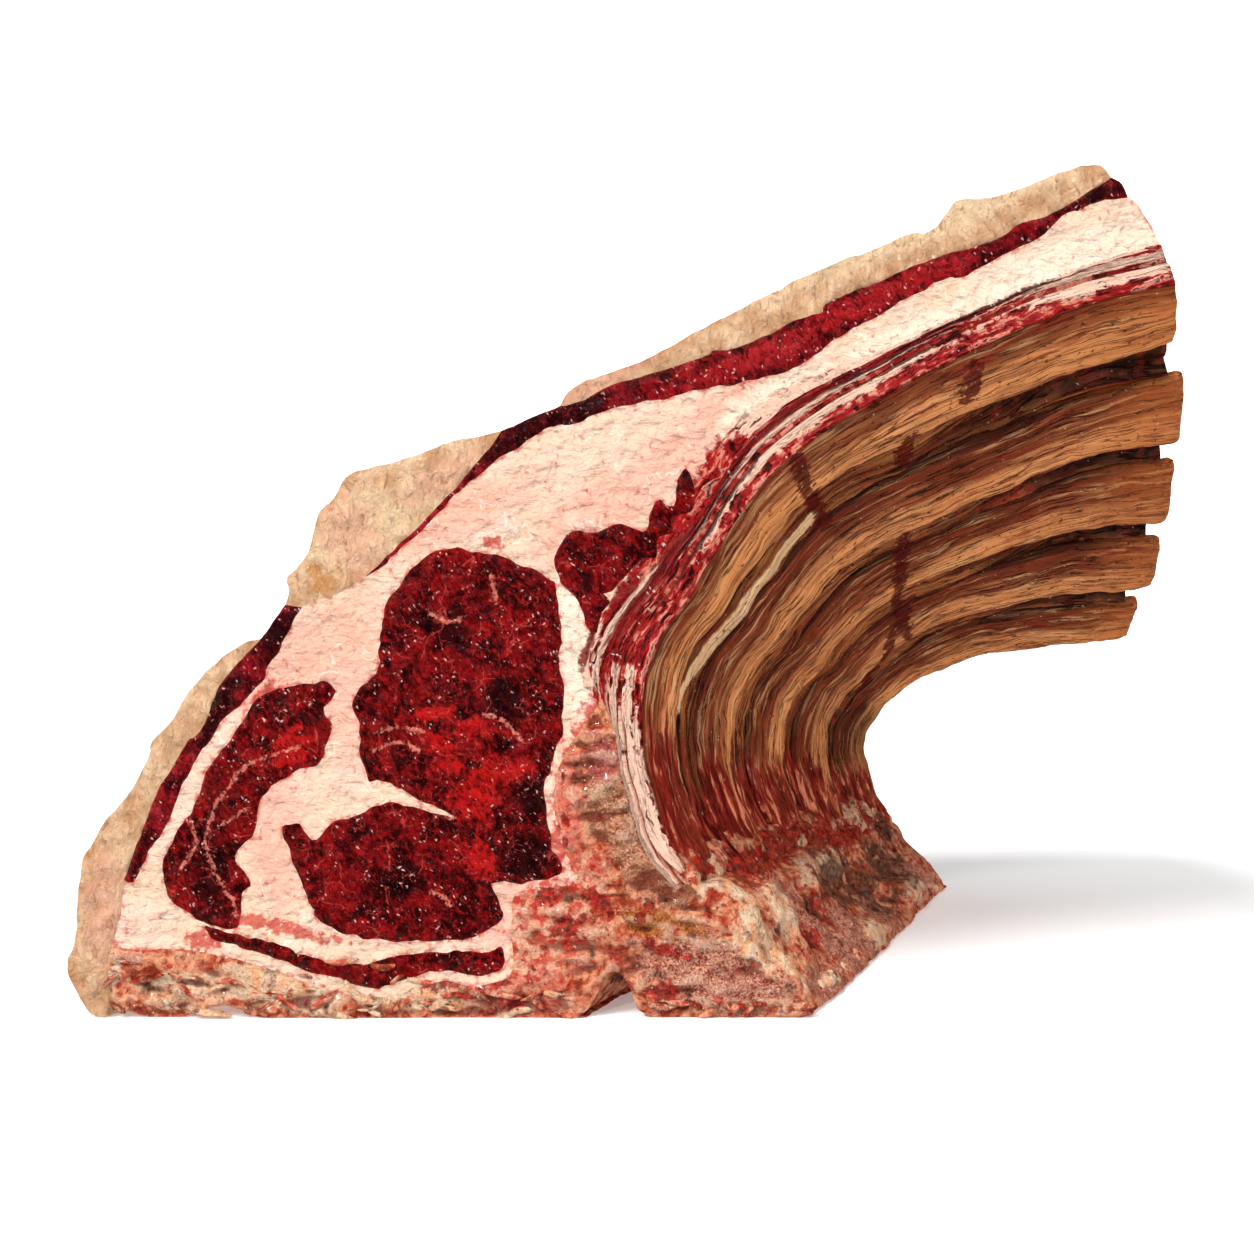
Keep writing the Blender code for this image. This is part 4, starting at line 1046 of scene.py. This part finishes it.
FACE_AREAS = {
    "pale": ((-11.9, 78, 5, 22, 0), (-13, 92, 4, 12, -20)),
    "pulp": ((-26, 36, 22, 22, 0), (-34, 12, 24, 12, 0), (-6, 52, 8, 12, 0)),
    "grey": ((1.2, 99, 6.5, 9, 0),),
    "marrow": ((15.4, 65.6, 29, 11, -55), (2, 84, 8, 14, -10)),
    "yellow": ((23.5, 35.8, 16, 6, -10),),
    "lilac": ((44.6, 17, 32, 15, -12),),
    "cream": ((-196, 18, 12, 16, 0), (-158, 10, 20, 8, 0), (-137, 12, 18, 8, 0), (31, 55, 12, 3.5, -50),
              (60, 26, 5, 12, 40), (-70, 8, 22, 5, 0), (-115, 9, 18, 7, 0)),
    "blood": ((-60, 14, 26, 2.5, 0), (-20, 47, 5, 4, 0), (-12, 36, 6, 5, 30), (-33, 6, 5, 3, 0),
              (0, 44, 8, 3, -35), (18, 42, 6, 2, 40), (24, 27, 10, 2.5, -20), (24, 10, 7, 4, 0),
              (-100, 16, 26, 3, -10)),
    # Painted shade inside the groove under the backbone.
    "dark": ((5.4, 12, 4.5, 5, 0), (5.4, 4, 5.5, 5, 0)),
}


def paint_meat(plan, depth):
    near = np.exp(-depth / 60.0)
    return {"bright": spots(plan, BRIGHT_MEAT) * near, "black": spots(plan, BLACK_MEAT) * near,
            "vein": line_share(plan, PINK_LINES, 1.6) * near}


def paint_outer_meat(plan, depth):
    return {"bright": spots(plan, BRIGHT_OUTER), "black": spots(plan, BLACK_OUTER),
            "vein": np.zeros(len(plan))}


def paint_seam_fat(plan, depth):
    from_flank = np.linalg.norm(plan[:, None, :] - FLANK_FINE[None], axis=2)
    nearest = from_flank.argmin(axis=1)
    away = from_flank.min(axis=1)
    values = paint_strip(S_LENGTH[nearest], away + WALL_WIDTH[nearest])
    reach = np.interp(S_LENGTH[nearest], STREAKY_AT, STREAKY_REACH)
    values["streaky"] = np.clip(1.5 - away / np.maximum(reach, 0.1), 0.0, 1.0)
    values.update({"pink": spots(plan, PINK_FAT), "white": spots(plan, WHITE_FAT),
                   "red": spots(plan, RED_FAT)})
    return values


def paint_cover(plan, depth):
    near = np.exp(-depth / 80.0)
    return {"yellow": spots(plan, YELLOW_COVER) * near, "pink": spots(plan, PINK_COVER),
            "pale": spots(plan, PALE_COVER) * near}


# Painted areas on the inner side of the backbone: height, depth and half sizes.
CHINE_AREAS = {
    "cream": ((36, 8, 18, 10), (31, 40, 12, 15), (40, 130, 8, 18), (38, 96, 7, 12), (8, 110, 6, 12),
              (10, 200, 6, 20), (14, 8, 8, 8)),
    "lilac": ((20, 68, 22, 12), (12, 95, 12, 14), (14, 150, 10, 16), (12, 225, 12, 18), (6, 30, 6, 16)),
    # Dark areas: painted shade in the hollows that the swell pushes in.
    "dark": ((30, 129, 12, 14), (24, 160, 14, 18), (26, 205, 14, 26), (20, 52, 3.5, 4), (24, 80, 5, 7),
             (44, 240, 10, 14)),
    "blood": ((46, 38, 5, 10), (50, 80, 6, 50), (48, 170, 7, 70), (34, 100, 6, 6), (20, 54, 6, 7),
              (26, 82, 7, 9)),
}


def chine_spots(plan, depth, name):
    spread = np.column_stack([plan[:, 1], depth])
    return spots(spread, [(*row, 0.0) for row in CHINE_AREAS.get(name, ())])


def paint_backbone(plan, depth):
    face, side = smoothstep(6.0, 1.0, depth), smoothstep(1.0, 6.0, depth)
    chine = side * smoothstep(28.0, 36.0, plan[:, 0])
    values = {}
    # The dark areas are painted shade and are kept at every depth, so that the groove under the backbone
    # stays dark inside.
    for name, rows in FACE_AREAS.items():
        front = spots(plan, rows) * (1.0 if name == "dark" else face)
        values[name] = np.maximum(front, chine_spots(plan, depth, name) * chine)
    return values


# Dried blood that ran across the bones and a pale strip of gristle, as lines (along, depth).
DRIPS = (((189, 4), (186, 18), (184, 36), (183, 57)),
         ((214, 97), (206, 120), (195, 144), (186, 174), (178, 200)),
         ((115, 216), (147, 204), (198, 165)), ((262, 20), (268, 10)), ((236, 30), (228, 44)))
CREAM_STRIP = (((180, 47), (155, 48), (130, 46), (102, 46), (82, 40), (70, 33)),)


def far_share(s, depth):
    """The lower arch at the back, which lies in the shade."""
    return smoothstep(150.0, 235.0, depth) * smoothstep(25.0, 55.0, s) * smoothstep(125.0, 80.0, s)


def arch_values(s, depth, share):
    away = past_bone(depth)
    along = s / S_LENGTH[-1]
    # Painted shade: in the sunken pockets between the bones near the tips, beside the bones and at the
    # back of the lower arch.
    deep = smoothstep(0.55, 0.98, along) * smoothstep(-2.0, 3.0, away)
    spread = np.column_stack([s, depth])
    far = far_share(s, depth)
    shade = deep + 0.3 * smoothstep(0.0, 3.0, away) + 0.7 * far
    return {"blood": np.clip(1.6 * line_share(spread, DRIPS, 5.5), 0.0, 1.0),
            "foot": smoothstep(92.0, 12.0, s) * (1.0 - 0.8 * far),
            "dark": np.clip(shade, 0.0, 1.0) * (1.0 - share),
            "cream": np.clip(1.5 * line_share(spread, CREAM_STRIP, 5.0), 0.0, 1.0)}


# Streaks on the cut face beside the arch: along it, distance from its inner line, half sizes.
STRIP_WHITE = ((30, 4.5, 50, 6.5, 0), (205, 4.5, 60, 2.2, 0), (325, 6, 34, 4, 0), (110, 16, 40, 3, 0))
STRIP_RED = ((205, 10.5, 48, 2.2, 0), (120, 12, 34, 3.5, 0), (114, 21, 8, 3, 0), (90, 24, 6, 3, 0))
STRIP_BLACK = ((282, 9.5, 34, 1.8, 0), (150, 6, 30, 1.5, 0), (240, 6, 24, 1.0, 0))

# How far the streaks reach into the fat, by the length along the arch.
STREAKY_AT = (60, 90, 120, 150, 180, 215, 260)
STREAKY_REACH = (1, 4, 6, 9, 9, 5, 0)


def paint_strip(s, away):
    strip = np.column_stack([s, away])
    return {"white": spots(strip, STRIP_WHITE), "redmeat": spots(strip, STRIP_RED),
            "black": spots(strip, STRIP_BLACK),
            "strip": np.column_stack([s, np.zeros(len(s)), away])}


def paint_lining(s, depth, share, i):
    room = WALL_WIDTH[i]
    values = arch_values(s, depth, share)
    # Painted shade in the crevice beside each bone.
    values["crevice"] = np.exp(-((past_bone(depth) - 0.9) / 1.6) ** 2)
    values.update(paint_strip(s, share * room))
    return values


def paint_bone(s, depth, inward, past_end):
    values = arch_values(s, depth, np.zeros(len(s)))
    far = far_share(s, depth)
    # Painted shade along the edges of each bone, where it meets the sunken lining, and at the back of the
    # lower arch.
    values["dark"] = np.maximum(0.75 * smoothstep(-3.0, -0.3, past_bone(depth)), 0.6 * far)
    values["tip"] = np.full(len(s), 0.35 * past_end)
    values["warm"] = smoothstep(300.0, 352.0, s) * smoothstep(0.5, 2.0, depth)
    values["front"] = smoothstep(0.8, 0.2, depth)
    values.update(paint_strip(s, inward))
    return values


# Pieces

def chine_swell(points, loop, w):
    """Lumps and hollows on the open side of the backbone, with a dent at each joint."""
    line = smooth_line(np.array(LINES["spine_right"]), 1.0)
    near = smoothstep(3.0, 0.5, edge_distance(loop, [line]))
    middle = smoothstep(0.0, 5.0, loop[:, 1]) * smoothstep(53.0, 46.0, loop[:, 1])
    depth = np.full(len(loop), w * DEPTH)
    joint = abs(w * VERTEBRA_COUNT - round(w * VERTEBRA_COUNT))
    bulge = 2.2 * (1.0 - np.exp(-(joint / 0.12) ** 2)) - 1.0
    rough = 3.0 * fractal(points, 13.0, 3, 301) + bulge
    rough += 5.0 * chine_spots(loop, depth, "cream") - 3.0 * chine_spots(loop, depth, "dark")
    push = near * middle * rough * min(w * DEPTH / 3.0, 1.0)
    return np.column_stack([push * 0.74, np.zeros(len(loop)), push * 0.67])


FLAP = (1.3, 2.6, 0.55, 0.3, 0.55)     # least and most length, depth, least and most height
KNOB = (1.0, 1.3, 1.1, 0.8, 1.0)


def crumb(body, middle, size, rng, paint, form):
    """One torn scrap: a thin curled flap or a knob, with a broken surface."""
    across, up = np.meshgrid(np.linspace(0.0, 2.0 * np.pi, 19)[:-1], np.linspace(0.0, np.pi, 11))
    ball = np.column_stack([(np.sin(up) * np.cos(across)).ravel(), (np.sin(up) * np.sin(across)).ravel(),
                            np.cos(up).ravel()])
    tilt = rng.uniform(-0.7, 0.7)
    shape = ball * size * np.array((rng.uniform(*form[:2]), form[2], rng.uniform(*form[3:])))
    shape *= (1.0 + 0.35 * fractal(ball + middle, 0.9, 2, 7))[:, None]
    shape[:, 2] += rng.uniform(-0.12, 0.12) * shape[:, 0] ** 2 / size
    turned = np.column_stack([shape[:, 0] * np.cos(tilt) - shape[:, 2] * np.sin(tilt), shape[:, 1],
                              shape[:, 0] * np.sin(tilt) + shape[:, 2] * np.cos(tilt)])
    points = middle + turned
    points[:, 2] = np.maximum(points[:, 2], 0.0)
    values = {key: np.full(len(points), level) for key, level in paint.items()}
    values["fold"] = fractal(points, 2.2, 2, 15)
    body.tube(body.add(points, **values).reshape(across.shape))


def scraps(material):
    """Torn scraps of fat and gristle along the sawn bottom edges."""
    rng = np.random.default_rng(21)
    body = Body()
    blank = dict.fromkeys(("edge", "fold", *FACE_AREAS), 0.0)
    looks = ({"cream": 1.0}, {"cream": 1.0}, {"pulp": 1.0}, {}, {"lilac": 0.6}, {"blood": 0.6})
    spots_on_face = [(x + rng.uniform(-2, 2), rng.uniform(2.0, 22.0)) for x in np.arange(-190, -62, 3.6)]
    spots_on_face += [(x, rng.uniform(1.5, 11.0)) for x in np.arange(-62, -12, 4.0)]
    spots_on_face += [(x, rng.uniform(2.0, 6.0)) for x in np.arange(22, 78, 5.0)]
    for x, z in spots_on_face:
        middle = np.array((x, rng.uniform(-0.7, 0.5), z))
        crumb(body, middle, rng.uniform(1.8, 3.6), rng, {**blank, **looks[rng.integers(6)]}, FLAP)
    for depth in np.arange(6.0, DEPTH - 4.0, 6.0):
        foot = flow(np.array([(74.5, 4.0)]), depth / DEPTH)
        middle = to_frame(foot, depth)[0]
        crumb(body, middle, rng.uniform(3.0, 4.8), rng, {**blank, **looks[rng.integers(5)]}, KNOB)
    body.build("scraps_look", "vertebra_1", material, 70.0)


def collar(material):
    """Lumpy raw tissue where the bones run into the backbone."""
    around, along = 40, 340
    depth = np.repeat(np.linspace(0.8, DEPTH - 0.8, along), around)
    turn = np.tile(np.linspace(0.0, 2.0 * np.pi, around, endpoint=False), along)
    end = np.minimum(depth, DEPTH - depth)
    ends = np.sqrt(np.clip(1.0 - (1.0 - end / 4.0) ** 2, 0.02, 1.0) * (end < 4.0) + (end >= 4.0))
    wave = np.column_stack([depth, 0.0 * depth, 0.0 * depth])
    width = (9.0 + 3.5 * fractal(wave, 16.0, 2, 401)) * ends
    rise = (3.4 + 1.2 * fractal(wave, 11.0, 2, 402)) * ends
    i = np.full(len(depth), COLLAR_AT)
    xz = WALL.point(i, depth, 1.2 + rise * np.sin(turn), width * np.cos(turn))
    points = to_frame(xz, depth)
    points += vector_noise(points, 7.0, 3, 410) * np.array((1.5, 0.8, 1.5)) * ends[:, None]
    spread = np.column_stack([depth, width * np.cos(turn), 0.0 * depth])
    tone = fractal(spread * np.array((1.0, 0.8, 1.0)), 13.0, 3, 420)
    values = dict.fromkeys(("edge", *FACE_AREAS), np.zeros(len(depth)))
    values.update({"fold": 0.8 * fractal(points, 4.0, 2, 430), "cream": smoothstep(0.05, 0.45, tone),
                   "blood": smoothstep(0.15, -0.25, tone + 0.06 * width * np.cos(turn)),
                   "pulp": smoothstep(0.0, 0.3, tone)})
    body = Body()
    rings = body.add(points, **values).reshape(along, around)
    body.tube(rings)
    for ring, forward in ((rings[0], True), (rings[-1], False)):
        first = {key: rows[ring[:1]] for key, rows in values.items()}
        body.cap(ring, points[ring].mean(axis=0), first, forward)
    body.build("collar_look", "vertebra_1", material, 70.0)


def build_pieces():
    outer = meat_material("outer_muscle", (62, 2, 8), (132, 10, 20), (170, 24, 28), marbling=0.6)
    meat = meat_material("muscle", (50, 1, 3), (122, 6, 10), (190, 18, 16))
    spine, bones = backbone_material(), bone_material()
    covers, inner = cut_stations(80), cut_stations(12)
    # Material, stations, spacing of points, dome and grain of the cut face, painted areas.
    kinds = {
        "cover_fat": (cover_fat_material(), covers, STEP, 0.6, 0.5, paint_cover),
        "outer_muscle": (outer, inner, STEP * 0.8, 0.9, 0.5, paint_outer_meat),
        "seam_fat": (seam_fat_material(), inner, STEP * 1.2, 0.0, 0.25, paint_seam_fat),
        "muscle": (meat, inner, STEP * 0.8, 0.8, 0.55, paint_meat),
    }
    for node, (slot_name, *outlines) in OUTLINES.items():
        loft(node, slot_name, outlines, *kinds[slot_name])
    for number in range(VERTEBRA_COUNT):
        ends = np.linspace(number, number + 1, 26) / VERTEBRA_COUNT
        loft(f"vertebra_{number + 1}", "backbone", [BACKBONE], spine, ends,
             STEP if number == 0 else 3.0, 0.8, 1.5, paint_backbone, chine_swell, (10.0, 3.6))
    scraps(spine)
    collar(spine)
    lining(wall_material())
    for number in range(len(RIB_CENTRES)):
        bone(number, bones)


STAGE_RADIUS = 5.0           # metres from the middle to where the backdrop starts to rise
STAGE_HEIGHT = 4.5
LIGHT_FROM_BELOW = 0.95      # soft light thrown back by the pale floor
LIGHT_FROM_ABOVE = 0.30
CAMERA_PLACE = (-0.03429, -0.66455, 0.1504)
CAMERA_LENS = 39.76          # millimetres, on a 36 mm sensor


def build_stage():
    """A pale floor that rises into a backdrop all round, soft lights and the camera."""
    spokes, rise = 72, np.linspace(0.0, np.pi / 2, 12)
    profile = [(STAGE_RADIUS * share, 0.0) for share in (0.02, 0.25, 0.6, 1.0)]
    profile += [(STAGE_RADIUS + np.sin(t), 1.0 - np.cos(t)) for t in rise[1:]]
    profile += [(STAGE_RADIUS + 1.0, STAGE_HEIGHT)]
    turns = np.linspace(0.0, 2.0 * np.pi, spokes, endpoint=False)
    points = [(0.0, 0.0, 0.0)]
    points += [(r * np.cos(t), r * np.sin(t), z) for r, z in profile for t in turns]
    faces = [(0, 1 + k, 1 + (k + 1) % spokes) for k in range(spokes)]
    for row in range(len(profile) - 1):
        low, high = 1 + row * spokes, 1 + (row + 1) * spokes
        faces += [(low + k, high + k, high + (k + 1) % spokes, low + (k + 1) % spokes)
                  for k in range(spokes)]
    mesh = bpy.data.meshes.new("floor")
    mesh.from_pydata(points, [], faces)
    mesh.shade_smooth()
    floor = bpy.data.objects.new("floor", mesh)
    bpy.context.scene.collection.objects.link(floor)
    paper = Paint("paper")
    paper.colour = paper.mix(paper.noise(90.0, 2.0), (0.90, 0.90, 0.90, 1.0), (0.92, 0.92, 0.92, 1.0))
    paper.shader.inputs["Emission Color"].default_value = (1.0, 1.0, 1.0, 1.0)
    height = paper.node("SeparateXYZ", {0: paper.place}).outputs["Z"]
    glow = paper.scale_up(paper.step(height, 0.0, 600.0), 0.4, 0.22)
    paper.put(paper.shader.inputs["Emission Strength"], glow)
    mesh.materials.append(paper.finish(0.7, ((paper.noise(2.0), 0.02),)))
    floor.visible_glossy = floor.visible_diffuse = floor.visible_shadow = False

    world = bpy.data.worlds.new("studio")
    world.use_nodes = True
    nodes, links = world.node_tree.nodes, world.node_tree.links
    split = nodes.new("ShaderNodeSeparateXYZ")
    links.new(nodes.new("ShaderNodeTexCoord").outputs["Generated"], split.inputs[0])
    bounce = nodes.new("ShaderNodeMapRange")
    for socket, level in (("From Min", -0.25), ("From Max", 0.25), ("To Min", LIGHT_FROM_BELOW),
                          ("To Max", LIGHT_FROM_ABOVE)):
        bounce.inputs[socket].default_value = level
    links.new(split.outputs["Z"], bounce.inputs["Value"])
    links.new(bounce.outputs["Result"], nodes["Background"].inputs["Strength"])
    nodes["Background"].inputs["Color"].default_value = (1.0, 1.0, 1.0, 1.0)
    bpy.context.scene.world = world
    world.cycles_visibility.glossy = False

    for name, spot, width, strength, glossy in (
            ("key", (-0.62, -0.66, 0.95), 20.0, 2.8, False),
            ("spark", (-0.36, -0.80, 0.55), 5.0, 0.8, True),
            ("overhead", (0.15, -0.25, 1.0), 70.0, 0.7, False),
            ("fill", (1.3, -0.45, 0.3), 40.0, 0.9, False)):
        light = bpy.data.lights.new(name, "SUN")
        light.angle = np.radians(width)
        light.energy = strength
        lamp = bpy.data.objects.new(name, light)
        lamp.rotation_euler = (-Vector(spot)).to_track_quat("-Z", "Y").to_euler()
        lamp.visible_glossy = glossy
        bpy.context.scene.collection.objects.link(lamp)

    camera = bpy.data.cameras.new("camera")
    camera.lens = CAMERA_LENS
    camera.sensor_width = 36.0
    eye = bpy.data.objects.new("camera", camera)
    eye.location = CAMERA_PLACE
    eye.rotation_euler = (np.pi / 2, 0.0, 0.0)
    bpy.context.scene.collection.objects.link(eye)
    bpy.context.scene.camera = eye
    bpy.context.scene.view_settings.view_transform = "Standard"


build_pieces()
build_stage()
